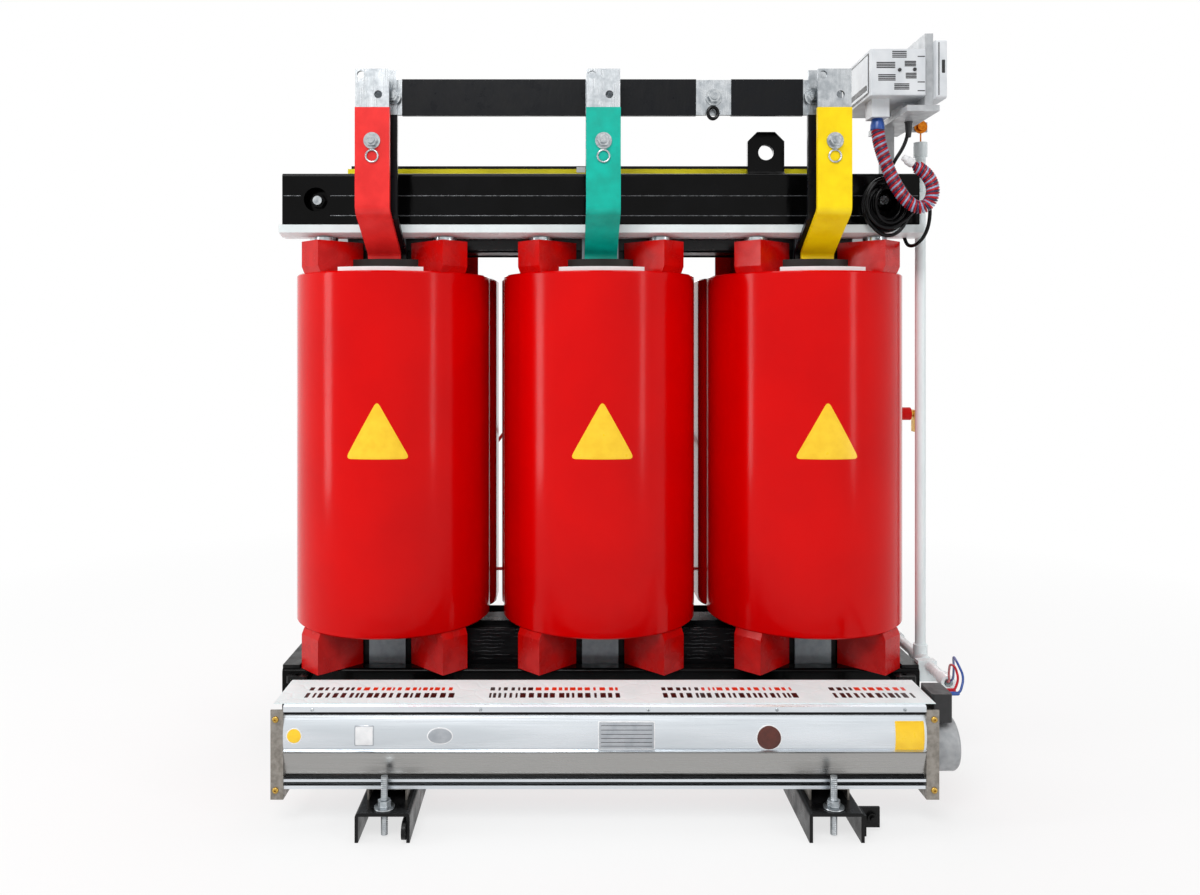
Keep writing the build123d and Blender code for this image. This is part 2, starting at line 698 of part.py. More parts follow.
def bar_sweep(x, route, top_z, extra):
    """Flat bar along a route in the plane X = x, up to top_z, thicker by extra all round."""
    points = [(x, y, z) for y, z in route] + [(x, route[-1][0], top_z)]
    with BuildLine() as path:
        FilletPolyline(*points, radius=BAR_BEND_R)
    with BuildSketch(Plane(origin=points[0], x_dir=(1, 0, 0), z_dir=(0, 0, 1))) as section:
        Rectangle(BAR_W + 2 * extra, BAR_T + 2 * extra)
        if extra:
            Rectangle(BAR_W, BAR_T, mode=Mode.SUBTRACT)
    sweep(section.sketch, path=path.line)


def riser_x(x):
    """Outer risers stand a little towards the middle of the row."""
    if x < 0:
        return x + RISER_SHIFT
    if x > 0:
        return x - RISER_SHIFT
    return x


def neutral_bolt_x(x):
    """Where the bolt joins a riser to the neutral bar, on the side that faces the middle."""
    if x < 0:
        return riser_x(x) + NEUTRAL_BOLT_IN
    if x > 0:
        return riser_x(x) - NEUTRAL_BOLT_IN
    return x


PHASE_BOLT_Z = BAR_TOP_Z - BOLT_DROP
for phase, x in PHASES:
    with BuildPart() as phase_bar:
        bar_sweep(x, BAR_ROUTE, BAR_TOP_Z, 0)
        for dx, drop in BAR_HOLES:
            with Locations(along_y(x + dx, BAR_FRONT_Y, BAR_TOP_Z - drop)):
                Cylinder(BAR_HOLE_R, BAR_T + 2, mode=Mode.SUBTRACT)
        with Locations(along_y(x, BAR_FRONT_Y, PHASE_BOLT_Z)):
            Cylinder(BOLT_R + HOLE_CLEARANCE, BAR_T + 2, mode=Mode.SUBTRACT)
    save(phase_bar.part, f"phase_bar_{phase}")

    with BuildPart() as phase_sleeve:
        bar_sweep(x, BAR_ROUTE, BAR_TOP_Z - BAR_BARE, SLEEVE_T)
        with Locations(along_y(x, BAR_FRONT_Y, PHASE_BOLT_Z)):
            Cylinder(BOLT_R + HOLE_CLEARANCE, BAR_T + 2 * SLEEVE_T + 2, mode=Mode.SUBTRACT)
    save(phase_sleeve.part, f"phase_sleeve_{phase}")

with BuildPart() as riser_bars:
    for _, x in PHASES:
        bar_sweep(riser_x(x), RISER_ROUTE, RISER_TOP_Z, 0)
    for _, x in PHASES:
        with Locations(
            along_y(x, RISER_Y, PHASE_BOLT_Z), along_y(neutral_bolt_x(x), RISER_Y, NEUTRAL_Z)
        ):
            Cylinder(BOLT_R + HOLE_CLEARANCE, BAR_T + 2, mode=Mode.SUBTRACT)
save(riser_bars.part, "riser_bars")

# insulating blocks that hold each phase bar clear of its riser
standoff_front = BAR_FRONT_Y + BAR_T / 2 + SLEEVE_T
standoff_back = RISER_Y - BAR_T / 2 - SLEEVE_T
with BuildPart() as standoffs:
    for _, x in PHASES:
        with BuildSketch(Plane.XY.offset(PHASE_BOLT_Z - STANDOFF_H / 2)):
            with Locations((x, (standoff_front + standoff_back) / 2)):
                Rectangle(STANDOFF_W, standoff_back - standoff_front)
        extrude(amount=STANDOFF_H)
        with Locations(along_y(x, (standoff_front + standoff_back) / 2, PHASE_BOLT_Z)):
            Cylinder(BOLT_R + HOLE_CLEARANCE, standoff_back - standoff_front + 2, mode=Mode.SUBTRACT)
save(standoffs.part, "standoffs")

neutral_y = RISER_Y + BAR_T / 2 + NEUTRAL_T / 2
NEUTRAL_X0 = -PHASE_PITCH - NEUTRAL_OVER_LEFT
NEUTRAL_X1 = PHASE_PITCH + NEUTRAL_OVER_RIGHT
with BuildPart() as neutral_bar:
    with Locations(((NEUTRAL_X0 + NEUTRAL_X1) / 2, neutral_y, NEUTRAL_Z)):
        Box(NEUTRAL_X1 - NEUTRAL_X0, NEUTRAL_T, NEUTRAL_H)
    bolt_xs = [neutral_bolt_x(x) for _, x in PHASES] + [NEUTRAL_BARE_X]
    with Locations(*[along_y(x, neutral_y, NEUTRAL_Z) for x in bolt_xs]):
        Cylinder(BOLT_R + HOLE_CLEARANCE, NEUTRAL_T + 2, mode=Mode.SUBTRACT)
save(neutral_bar.part, "neutral_bar")


def neutral_sleeve(x0, x1):
    """Shrink sleeve round the neutral bar between two places along X."""
    with BuildSketch(Plane.YZ.offset(x0)) as section:
        with Locations((neutral_y, NEUTRAL_Z)):
            Rectangle(NEUTRAL_T + 2 * SLEEVE_T, NEUTRAL_H + 2 * SLEEVE_T)
            Rectangle(NEUTRAL_T, NEUTRAL_H, mode=Mode.SUBTRACT)
    extrude(section.sketch, amount=x1 - x0)


SLEEVE_START = neutral_bolt_x(PHASE_PITCH) - WASHER_R - 1
RISER_SLEEVE_TOP = RISER_TOP_Z - RISER_BARE
with BuildPart() as black_sleeves:
    for _, x in PHASES:
        bar_sweep(riser_x(x), RISER_ROUTE, RISER_SLEEVE_TOP, SLEEVE_T)
        with Locations(along_y(x, RISER_Y, PHASE_BOLT_Z)):
            Cylinder(BOLT_R + HOLE_CLEARANCE, BAR_T + 2 * SLEEVE_T + 2, mode=Mode.SUBTRACT)
    neutral_sleeve(-SLEEVE_START, -BAR_W / 2 - SLEEVE_T)
    neutral_sleeve(BAR_W / 2 + SLEEVE_T, NEUTRAL_BARE_X - NEUTRAL_BARE_W / 2)
    neutral_sleeve(NEUTRAL_BARE_X + NEUTRAL_BARE_W / 2, SLEEVE_START)
save(black_sleeves.part, "black_sleeves")


def hex_bolt(x, z, front_y, back_y):
    """Bolt along Y: head and washer in front of front_y, washer and nut behind back_y."""
    with Locations(along_y(x, (front_y + back_y) / 2, z)):
        Cylinder(BOLT_R, back_y - front_y + 2 * (WASHER_T + BOLT_HEAD_H) + 6)
    for face, way in ((front_y, 1), (back_y, -1)):
        with Locations(along_y(x, face - way * WASHER_T / 2, z)):
            Cylinder(WASHER_R, WASHER_T)
        with BuildSketch(Plane.XZ.offset(-(face - way * WASHER_T))) as head:
            with Locations((x, z)):
                RegularPolygon(BOLT_HEAD_R, 6)
        extrude(head.sketch, amount=way * BOLT_HEAD_H)


with BuildPart() as bar_bolts:
    for _, x in PHASES:
        hex_bolt(
            x,
            PHASE_BOLT_Z,
            BAR_FRONT_Y - BAR_T / 2 - SLEEVE_T,
            RISER_Y + BAR_T / 2 + SLEEVE_T,
        )
        hex_bolt(neutral_bolt_x(x), NEUTRAL_Z, RISER_Y - BAR_T / 2, neutral_y + NEUTRAL_T / 2)
    hex_bolt(NEUTRAL_BARE_X, NEUTRAL_Z, neutral_y - NEUTRAL_T / 2, neutral_y + NEUTRAL_T / 2)
save(bar_bolts.part, "bar_bolts")


def wire_eye(x, y, bolt_z):
    """Round wire eye that hangs under a bolt's washer."""
    centre_z = bolt_z - WASHER_R - RING_R - RING_WIRE_R
    with Locations(along_y(x, y - RING_WIRE_R, centre_z)):
        Torus(RING_R, RING_WIRE_R)


with BuildPart() as cable_rings:
    for _, x in PHASES:
        wire_eye(x, BAR_FRONT_Y - BAR_T / 2 - SLEEVE_T, PHASE_BOLT_Z)
    wire_eye(NEUTRAL_BARE_X, neutral_y - NEUTRAL_T / 2, NEUTRAL_Z)
save(cable_rings.part, "cable_rings")

# ---------------------------------------------------------------- cross-flow fan
FAN_BODY_X0 = FAN_X0 + FAN_END_W
FAN_BODY_X1 = FAN_X1 - FAN_END_W
CAVITY_R = WHEEL_R + WHEEL_GAP
THROAT_FRONT = FAN_AXIS_Y - CAVITY_R + 6
THROAT_BACK = FAN_AXIS_Y + CAVITY_R - 14
PANEL_STEPS = (              # depth behind the front, height
    (4.0, FAN_TOP_Z),
    (0.0, FAN_TOP_Z - 2),
    (0.0, FAN_TOP_Z - 10),
    (6.0, FAN_TOP_Z - 11),
    (6.0, FAN_TOP_Z - 16),
)
LOWER_STEPS = (
    (1.0, FAN_BOTTOM_Z + 59),
    (-3.0, FAN_BOTTOM_Z + 57),
    (0.0, FAN_BOTTOM_Z + 54),
    (7.0, FAN_BOTTOM_Z + 19),
    (7.0, FAN_BOTTOM_Z + 16),
    (1.0, FAN_BOTTOM_Z + 15),
    (1.0, FAN_BOTTOM_Z + 11),
    (8.0, FAN_BOTTOM_Z + 10),
    (8.0, FAN_BOTTOM_Z + 6),
    (2.0, FAN_BOTTOM_Z + 5),
    (2.0, FAN_BOTTOM_Z),
)

with BuildPart() as fan_housing:
    with BuildSketch(Plane.YZ.offset(FAN_BODY_X0)):
        with BuildLine():
            upper = [(FAN_FRONT_Y + d, z) for d, z in PANEL_STEPS]
            lower = [(FAN_FRONT_Y + d, z) for d, z in LOWER_STEPS]
            Polyline(*upper)
            ThreePointArc(
                upper[-1], (FAN_FRONT_Y - 1.5, (upper[-1][1] + lower[0][1]) / 2), lower[0]
            )
            Polyline(*lower)
            Polyline(
                lower[-1],
                (FAN_BACK_Y - 6, FAN_BOTTOM_Z),
                (FAN_BACK_Y, FAN_BOTTOM_Z + 14),
                (FAN_BACK_Y, FAN_TOP_Z - 22),
                (FAN_BACK_Y - 4, FAN_TOP_Z),
                upper[0],
            )
        make_face()
        with Locations((FAN_AXIS_Y, FAN_AXIS_Z)):
            Circle(CAVITY_R, mode=Mode.SUBTRACT)
        with BuildLine():
            Polyline(
                (THROAT_FRONT, FAN_AXIS_Z + 18),
                (THROAT_FRONT - 14, FAN_TOP_Z + 2),
                (THROAT_BACK + 8, FAN_TOP_Z + 2),
                (THROAT_BACK, FAN_AXIS_Z + 18),
                close=True,
            )
        make_face(mode=Mode.SUBTRACT)
        with BuildLine():
            Polyline(
                (FAN_AXIS_Y + 8, FAN_AXIS_Z - 6),
                (FAN_BACK_Y + 2, FAN_AXIS_Z + 20),
                (FAN_BACK_Y + 2, FAN_AXIS_Z - 28),
                (FAN_AXIS_Y + 8, FAN_AXIS_Z - 28),
                close=True,
            )
        make_face(mode=Mode.SUBTRACT)
    extrude(amount=FAN_BODY_X1 - FAN_BODY_X0)
save(fan_housing.part, "fan_housing")

SHAFT_R = 4.0
with BuildPart() as fan_ends:
    for x_in, way in ((FAN_BODY_X0, -1), (FAN_BODY_X1, 1)):
        mid_y = (FAN_FRONT_Y + FAN_BACK_Y) / 2
        plate_plane = Plane.YZ.offset(x_in if way > 0 else x_in - FAN_END_T)
        with BuildSketch(plate_plane):
            with Locations((mid_y, (FAN_END_Z0 + FAN_END_Z1) / 2)):
                Rectangle(FAN_BACK_Y - FAN_FRONT_Y, FAN_END_Z1 - FAN_END_Z0)
            with Locations((FAN_AXIS_Y, FAN_AXIS_Z)):
                Circle(SHAFT_R + RUNNING_GAP, mode=Mode.SUBTRACT)
        extrude(amount=FAN_END_T)
        for y in (FAN_FRONT_Y, FAN_BACK_Y - FAN_END_T):
            with BuildSketch(Plane.XZ.offset(-y)):
                with Locations((x_in + way * FAN_END_W / 2, (FAN_END_Z0 + FAN_END_Z1) / 2)):
                    Rectangle(FAN_END_W, FAN_END_Z1 - FAN_END_Z0)
                for z in (FAN_END_Z0 + 14, FAN_END_Z1 - 14):
                    with Locations((x_in + way * (FAN_END_W / 2 + 2), z)):
                        Circle(3.2, mode=Mode.SUBTRACT)
            extrude(amount=-FAN_END_T)
    # folded feet that carry the fan on the base rails
    for side in (-1, 1):
        with BuildSketch(Plane.XZ.offset(-FAN_BACK_Y + 8)):
            with Locations((side * BASE_X, (BASE_TOP + FAN_BOTTOM_Z) / 2)):
                Rectangle(FOOT_W, FAN_BOTTOM_Z - BASE_TOP)
            with Locations((side * BASE_X, (BASE_TOP + FAN_BOTTOM_Z) / 2 - 2)):
                Rectangle(FOOT_W - 6, FAN_BOTTOM_Z - BASE_TOP - 3, mode=Mode.SUBTRACT)
        extrude(amount=FAN_BACK_Y - FAN_FRONT_Y - 16)
save(fan_ends.part, "fan_ends")

# blower wheel: thin blades between round discs, on a shaft that runs in both end plates
WHEEL_X0 = FAN_BODY_X0 + 4
WHEEL_X1 = FAN_BODY_X1 - 4
BLADE_T = 1.2
BLADE_DEPTH = 9.0
DISC_T = 2.0
with BuildPart() as fan_wheel:
    with BuildSketch(Plane.YZ.offset(WHEEL_X0)):
        with Locations((FAN_AXIS_Y, FAN_AXIS_Z)):
            with PolarLocations(WHEEL_R - BLADE_DEPTH / 2 - 0.5, WHEEL_BLADES):
                Rectangle(BLADE_DEPTH, BLADE_T, rotation=28)
    extrude(amount=WHEEL_X1 - WHEEL_X0)
    for number in range(WHEEL_DISCS):
        disc_x = WHEEL_X0 + number * (WHEEL_X1 - WHEEL_X0 - DISC_T) / (WHEEL_DISCS - 1)
        with BuildSketch(Plane.YZ.offset(disc_x)):
            with Locations((FAN_AXIS_Y, FAN_AXIS_Z)):
                Circle(WHEEL_R)
        extrude(amount=DISC_T)
    with BuildSketch(Plane.YZ.offset(FAN_BODY_X0 - FAN_END_T)):
        with Locations((FAN_AXIS_Y, FAN_AXIS_Z)):
            Circle(SHAFT_R)
    extrude(amount=FAN_BODY_X1 - FAN_BODY_X0 + 2 * FAN_END_T)
save(fan_wheel.part, "fan_wheel")

# motor drum on the right end plate
with BuildPart() as fan_motor:
    with BuildSketch(Plane.YZ.offset(FAN_BODY_X1 + FAN_END_T)):
        with Locations((FAN_AXIS_Y, FAN_AXIS_Z)):
            Circle(MOTOR_R)
    extrude(amount=FAN_X1 - FAN_BODY_X1 - FAN_END_T + MOTOR_L)
    fillet(fan_motor.faces().sort_by(Axis.X)[-1].edges(), 6)
    with BuildSketch(Plane.YZ.offset(FAN_BODY_X1 + FAN_END_T)):
        with Locations((FAN_AXIS_Y, FAN_AXIS_Z)):
            Circle(SHAFT_R + HOLE_CLEARANCE)
    extrude(amount=0.5, mode=Mode.SUBTRACT)
save(fan_motor.part, "fan_motor")

box_x, box_y, box_z = TERMINAL_BOX
BOX_Z0 = FAN_AXIS_Z + MOTOR_R + 0.5
with BuildPart() as fan_terminal_box:
    with BuildSketch(Plane.XY.offset(BOX_Z0)):
        with Locations((FAN_X1 + box_x / 2, FAN_AXIS_Y - 10)):
            RectangleRounded(box_x, box_y, 4)
    extrude(amount=box_z)
    with BuildSketch(Plane.XY.offset(BOX_Z0 - 6)):
        with Locations((FAN_X1 + box_x / 2, FAN_AXIS_Y)):
            Rectangle(box_x - 8, 20)
    extrude(amount=6)
    with Locations(along_x(FAN_X1 + box_x / 2, FAN_AXIS_Y, FAN_AXIS_Z)):
        Cylinder(MOTOR_R, box_x + 2, mode=Mode.SUBTRACT)
save(fan_terminal_box.part, "fan_terminal_box")

with BuildPart() as fan_film:
    with Locations((
        (FAN_X0 + FAN_X1) / 2, (FILM_Y0 + FILM_Y1) / 2, FAN_TOP_Z + FILM_T / 2
    )):
        Box(FAN_X1 - FAN_X0 - 6, FILM_Y1 - FILM_Y0, FILM_T)
save(fan_film.part, "fan_film")

# ---------------------------------------------------------------- conduit
CLAMP_END_X = CLAMP_L / 2
CLIP_WALL = 3.0
CLIP_GRIP = 14.0
with BuildPart() as conduit:
    with BuildSketch(Plane.XY.offset(PIPE_Z0)):
        with Locations((PIPE_X, PIPE_Y)):
            Circle(PIPE_R)
    extrude(amount=PIPE_Z1 - PIPE_Z0)
    for z in (PIPE_Z0 - SOCKET_R, PIPE_Z1 - SOCKET_L):
        with BuildSketch(Plane.XY.offset(z)):
            with Locations((PIPE_X, PIPE_Y)):
                Circle(SOCKET_R)
        extrude(amount=SOCKET_L if z > PIPE_Z0 else SOCKET_R + SOCKET_L)
    branch_mid = (BRANCH_FRONT_Y + BRANCH_BACK_Y) / 2
    with Locations(along_y(PIPE_X, branch_mid, PIPE_Z0)):
        Cylinder(PIPE_R, BRANCH_BACK_Y - BRANCH_FRONT_Y)
    with Locations(along_y(PIPE_X, PIPE_Y, PIPE_Z0)):
        Cylinder(SOCKET_R, 2 * SOCKET_L)
    for y in (BRANCH_FRONT_Y + SOCKET_L / 2, BRANCH_BACK_Y - SOCKET_L / 2):
        with Locations(along_y(PIPE_X, y, PIPE_Z0)):
            Cylinder(SOCKET_R, SOCKET_L)
    with Locations(along_y(PIPE_X, branch_mid, PIPE_Z0)):
        Cylinder(PIPE_R - 2, BRANCH_BACK_Y - BRANCH_FRONT_Y + 4, mode=Mode.SUBTRACT)
    with BuildSketch(Plane.XY.offset(PIPE_Z0)):
        with Locations((PIPE_X, PIPE_Y)):
            Circle(PIPE_R - 2)
    extrude(amount=PIPE_Z1 - PIPE_Z0 + 2, mode=Mode.SUBTRACT)
    # saddle on the upper clamp's inner face, and one on the lower clamp's end
    saddle_x1 = PIPE_X + PIPE_R + CLIP_WALL
    saddle_y1 = PIPE_Y + PIPE_R + CLIP_WALL
    with BuildSketch(Plane.XY.offset(UPPER_STUD_Z)):
        with Locations(((CLAMP_END_X - CLIP_GRIP + saddle_x1) / 2, (saddle_y1 - CLAMP_Y) / 2)):
            Rectangle(saddle_x1 - CLAMP_END_X + CLIP_GRIP, CLAMP_Y + saddle_y1)
        with Locations((PIPE_X, PIPE_Y)):
            Circle(PIPE_R - 1, mode=Mode.SUBTRACT)
    extrude(amount=CLIP_L)
    saddle_z0 = LOWER_CLAMP_TOP - CLAMP_CORNER - 2 * PIPE_R
    with BuildSketch(Plane.XZ.offset(CLAMP_MID_Y - CLIP_L / 2)):
        with Locations(((CLAMP_END_X + saddle_x1) / 2, (saddle_z0 + PIPE_Z0 + PIPE_R) / 2)):
            Rectangle(saddle_x1 - CLAMP_END_X, PIPE_Z0 + PIPE_R - saddle_z0)
        with Locations((PIPE_X, PIPE_Z0)):
            Circle(PIPE_R - 1, mode=Mode.SUBTRACT)
    extrude(amount=CLIP_L)
save(conduit.part, "conduit")

# ---------------------------------------------------------------- controller
SHELF_TOP = SHELF_Z + SHELF_T
GROMMET_X = 536.0
GROMMET_Y = -150.0
EAR_T = 4.0
EAR_H = 18.0
EAR_Z = SHELF_Z + 11
BRACKET_X0 = BODY_X1
BRACKET_X1 = BODY_X1 + BRACKET_T
with BuildPart() as controller_mount:
    with BuildSketch(Plane.XY.offset(UPPER_CLAMP_TOP)):
        with Locations((POST_X, -CLAMP_MID_Y)):
            Rectangle(POST_W, CLAMP_D - 8)
    extrude(amount=SHELF_Z - UPPER_CLAMP_TOP)
    with BuildSketch(Plane.XY.offset(SHELF_Z)):
        with Locations(((SHELF_X0 + SHELF_X1) / 2, (SHELF_Y0 + SHELF_Y1) / 2)):
            Rectangle(SHELF_X1 - SHELF_X0, SHELF_Y1 - SHELF_Y0)
        with Locations((GROMMET_X, GROMMET_Y)):
            Circle(CABLE_R + 3, mode=Mode.SUBTRACT)
    extrude(amount=SHELF_T)
    with BuildSketch(Plane.YZ.offset(BRACKET_X0)):
        with Locations(((SHELF_Y0 + SHELF_Y1) / 2, (SHELF_TOP + BRACKET_Z1) / 2)):
            Rectangle(SHELF_Y1 - SHELF_Y0 - 20, BRACKET_Z1 - SHELF_TOP)
    extrude(amount=BRACKET_T)
    with BuildSketch(Plane.XZ.offset(-PIPE_Y - EAR_T)):
        with Locations(((SHELF_X1 + PIPE_X + 13) / 2, EAR_Z)):
            Rectangle(PIPE_X + 13 - SHELF_X1, EAR_H)
        with Locations((PIPE_X, EAR_Z)):
            Circle(4 + HOLE_CLEARANCE, mode=Mode.SUBTRACT)
    extrude(amount=EAR_T)
save(controller_mount.part, "controller_mount")

SLOT_COUNT = 6
CONNECTOR_H = 30.0
CORD_Y = -185.0
with BuildPart() as controller_body:
    with BuildSketch(Plane.XY.offset(BODY_Z0)):
        with Locations(((BODY_X0 + BODY_X1) / 2, (BODY_Y0 + BODY_Y1) / 2)):
            RectangleRounded(BODY_X1 - BODY_X0, BODY_Y1 - BODY_Y0, 4)
    extrude(amount=BODY_Z1 - BODY_Z0)
    for number in range(SLOT_COUNT):
        slot_x = BODY_X0 + 16 + number * 7
        with Locations((slot_x, BODY_Y0 + 1, BODY_Z1 - 22)):
            Box(2.5, 3, 26, mode=Mode.SUBTRACT)
    with BuildSketch(Plane.XY.offset(BODY_Z0 - CONNECTOR_H)):
        with Locations((BODY_X0 + 25, CORD_Y)):
            Rectangle(30, 34)
    extrude(amount=CONNECTOR_H)
    with BuildSketch(Plane.XY.offset(SHELF_TOP)):
        with Locations((BODY_X1 - 10, (BODY_Y0 + BODY_Y1) / 2)):
            Rectangle(20, 60)
    extrude(amount=BODY_Z0 - SHELF_TOP)
save(controller_body.part, "controller_body")

with BuildPart() as controller_bezel:
    with BuildSketch(Plane.YZ.offset(BRACKET_X1)):
        with Locations(((BODY_Y0 + BODY_Y1) / 2, (BODY_Z0 + BODY_Z1) / 2 + 4)):
            RectangleRounded(BODY_Y1 - BODY_Y0 + 12, BODY_Z1 - BODY_Z0 + 20, 5)
    extrude(amount=BEZEL_T)
    with BuildSketch(Plane.YZ.offset(BRACKET_X1 + BEZEL_T)):
        with Locations(((BODY_Y0 + BODY_Y1) / 2, (BODY_Z0 + BODY_Z1) / 2 + 4)):
            RectangleRounded(BODY_Y1 - BODY_Y0 - 18, BODY_Z1 - BODY_Z0 - 4, 3)
    extrude(amount=-3, mode=Mode.SUBTRACT)
save(controller_bezel.part, "controller_bezel")

# ring lug on the ear above the conduit, with its screw and the short lead from the pipe
with BuildPart() as ring_lug:
    with BuildSketch(Plane.XZ.offset(-PIPE_Y)):
        with Locations((PIPE_X, EAR_Z)):
            Circle(12)
            Circle(4 + HOLE_CLEARANCE, mode=Mode.SUBTRACT)
    extrude(amount=3)
    with Locations(along_y(PIPE_X, PIPE_Y - 6, EAR_Z)):
        Cylinder(7.5, 6)
    with Locations(along_y(PIPE_X, PIPE_Y + 1, EAR_Z)):
        Cylinder(4, 14)
    with Locations((PIPE_X, PIPE_Y - 1.5, (PIPE_Z1 - 12 + EAR_Z - 10) / 2)):
        Cylinder(1.4, EAR_Z - 10 - PIPE_Z1 + 12)
save(ring_lug.part, "ring_lug")

# ---------------------------------------------------------------- cords
SENSOR_CORD_ROUTE = (
    (470, CORD_Y, BODY_Z0 - CONNECTOR_H),
    (470, CORD_Y, 1080),
    (481, CORD_Y, 1041),
    (495, CORD_Y, 1007),
    (512, CORD_Y, 976),
    (533, CORD_Y, 957),
    (551, CORD_Y, 957),
    (563, CORD_Y, 970),
    (566, CORD_Y, 990),
    (558, CORD_Y, 1010),
    (542, CORD_Y, 1024),
    (528, CORD_Y, 1033),
)
CABLE_LEAD_ROUTE = (
    (GROMMET_X, GROMMET_Y, SHELF_TOP),
    (GROMMET_X, GROMMET_Y, 1092),
    (527, -150, 1066),
    (512, -149, 1043),
    (506, -148, 1013.3),
)
LOW_LOOP_ROUTE = (
    (466, -150, 932.8),
    (467, -151, 921),
    (476, -152, 913),
    (488, -152, 910.5),
    (500, -151, 912.5),
    (508, -150, 919),
)
RIGHT_LOOP_ROUTE = (
    (543.8, -148, 955),
    (557, -149, 954),
    (568, -150, 944),
    (571, -149, 929),
    (566, -143, 914),
    (558, -130, 905),
    (552, -116, 902),
    (549, -104, 908),
)

with BuildPart() as sensor_cord:
    print("sensor_cord radii", [round(r, 1) for r in cord_tube(SENSOR_CORD_ROUTE, CORD_R)])
save(sensor_cord.part, "sensor_cord")

with BuildPart() as cable_runs:
    for name, route in (
        ("lead", CABLE_LEAD_ROUTE),
        ("low loop", LOW_LOOP_ROUTE),
        ("right loop", RIGHT_LOOP_ROUTE),
    ):
        print("cable", name, "radii", [round(r, 1) for r in cord_tube(route, CABLE_R)])
save(cable_runs.part, "cable_runs")

# hank of spare cable: a flat oval ring that hangs in front of the pressure rail
HANK_X = 500.0
HANK_Z = 967.0
HANK_HALF_X = 44.0
HANK_HALF_Z = 46.0
HANK_HOLE_X = 20.0
HANK_HOLE_Z = 22.0
HANK_BACK_Y = -(CLAMP_Y + PRESS_RAIL_D) - 0.3
HANK_T = 30.0
with BuildPart() as cable_hank:
    with BuildSketch(Plane.XZ.offset(-HANK_BACK_Y)):
        with Locations((HANK_X, HANK_Z)):
            Ellipse(HANK_HALF_X, HANK_HALF_Z)
            Ellipse(HANK_HOLE_X, HANK_HOLE_Z, mode=Mode.SUBTRACT)
    extrude(amount=HANK_T)
save(cable_hank.part, "cable_hank")

# red and blue leads from the fan's terminal box back to the front conduit socket
BOX_SIDE_X = FAN_X1 + box_x


def lead_y(share):
    """Y at a share of the way from the front conduit socket (0) to the fan's axis (1)."""
    return BRANCH_FRONT_Y + share * (FAN_AXIS_Y - BRANCH_FRONT_Y)


LEAD_ROUTES = (
    (
        (BOX_SIDE_X, lead_y(1.053), 190),
        (536, lead_y(1.053), 190),
        (546, lead_y(0.987), 204),
        (549, lead_y(0.853), 216),
        (556, lead_y(0.6), 208),
        (570, lead_y(0.333), 180),
        (582, lead_y(0.147), 155),
        (588, lead_y(0), 147),
    ),
    (
        (BOX_SIDE_X, lead_y(1.147), 190),
        (538, lead_y(1.147), 190),
        (548, lead_y(1.093), 212),
        (546, lead_y(0.947), 228),
        (558, lead_y(0.653), 224),
        (576, lead_y(0.373), 192),
        (588, lead_y(0.16), 160),
        (592, lead_y(0), 148),
    ),
)
with BuildPart() as fan_leads:
    for route in LEAD_ROUTES:
        print("fan lead radii", [round(r, 1) for r in cord_tube(route, LEAD_R)])
save(fan_leads.part, "fan_leads")

# ---------------------------------------------------------------- high-voltage side
LINK_T = 8.0
LINK_Y = BOSS_END_Y + LINK_T + LINK_T / 2
LINK_EYE_R = 12.0
LINK_ROD_R = 3.5

with BuildPart() as hv_studs:
    for _, x in PHASES:
        for place_x, place_z in terminal_places(x):
            with Locations(along_y(place_x, BOSS_END_Y + 15, place_z)):
                Cylinder(LINK_R, 30)
            for nut_y in (BOSS_END_Y + LINK_T / 2, LINK_Y + LINK_T):
                with Locations(along_y(place_x, nut_y, place_z)):
                    Cylinder(LINK_EYE_R - 1, LINK_T)
        pad_face = HV_BACK_Y + PAD_T
        for row in range(TAP_ROWS):
            tap_z = COIL_MID_Z + (row - (TAP_ROWS - 1) / 2) * TAP_PITCH_Z
            for sx in (-1, 1):
                with Locations(along_y(x + sx * TAP_PITCH_X / 2, pad_face + 11, tap_z)):
                    Cylinder(TAP_R, 22)
                with Locations(along_y(x + sx * TAP_PITCH_X / 2, pad_face + 6, tap_z)):
                    Cylinder(TAP_NUT_R, 12)
        with Locations((x, pad_face + 14, COIL_MID_Z)):
            Box(TAP_PITCH_X + 16, 4, 16)
    with Locations(along_x(KNOB_X - 3, KNOB_Y, KNOB_Z)):
        Cylinder(LINK_R, 10)
    with Locations((KNOB_X, KNOB_Y, KNOB_Z - 14)):
        Box(4, 18, 44)
save(hv_studs.part, "hv_studs")


def delta_link(points, bend_radius):
    """Round link between two terminals, with an eye round the stud at each end."""
    with BuildLine() as path:
        FilletPolyline(*points, radius=bend_radius)
    with BuildSketch(Plane(origin=path.line @ 0, z_dir=path.line % 0)) as section:
        Circle(LINK_ROD_R)
    sweep(section.sketch, path=path.line)


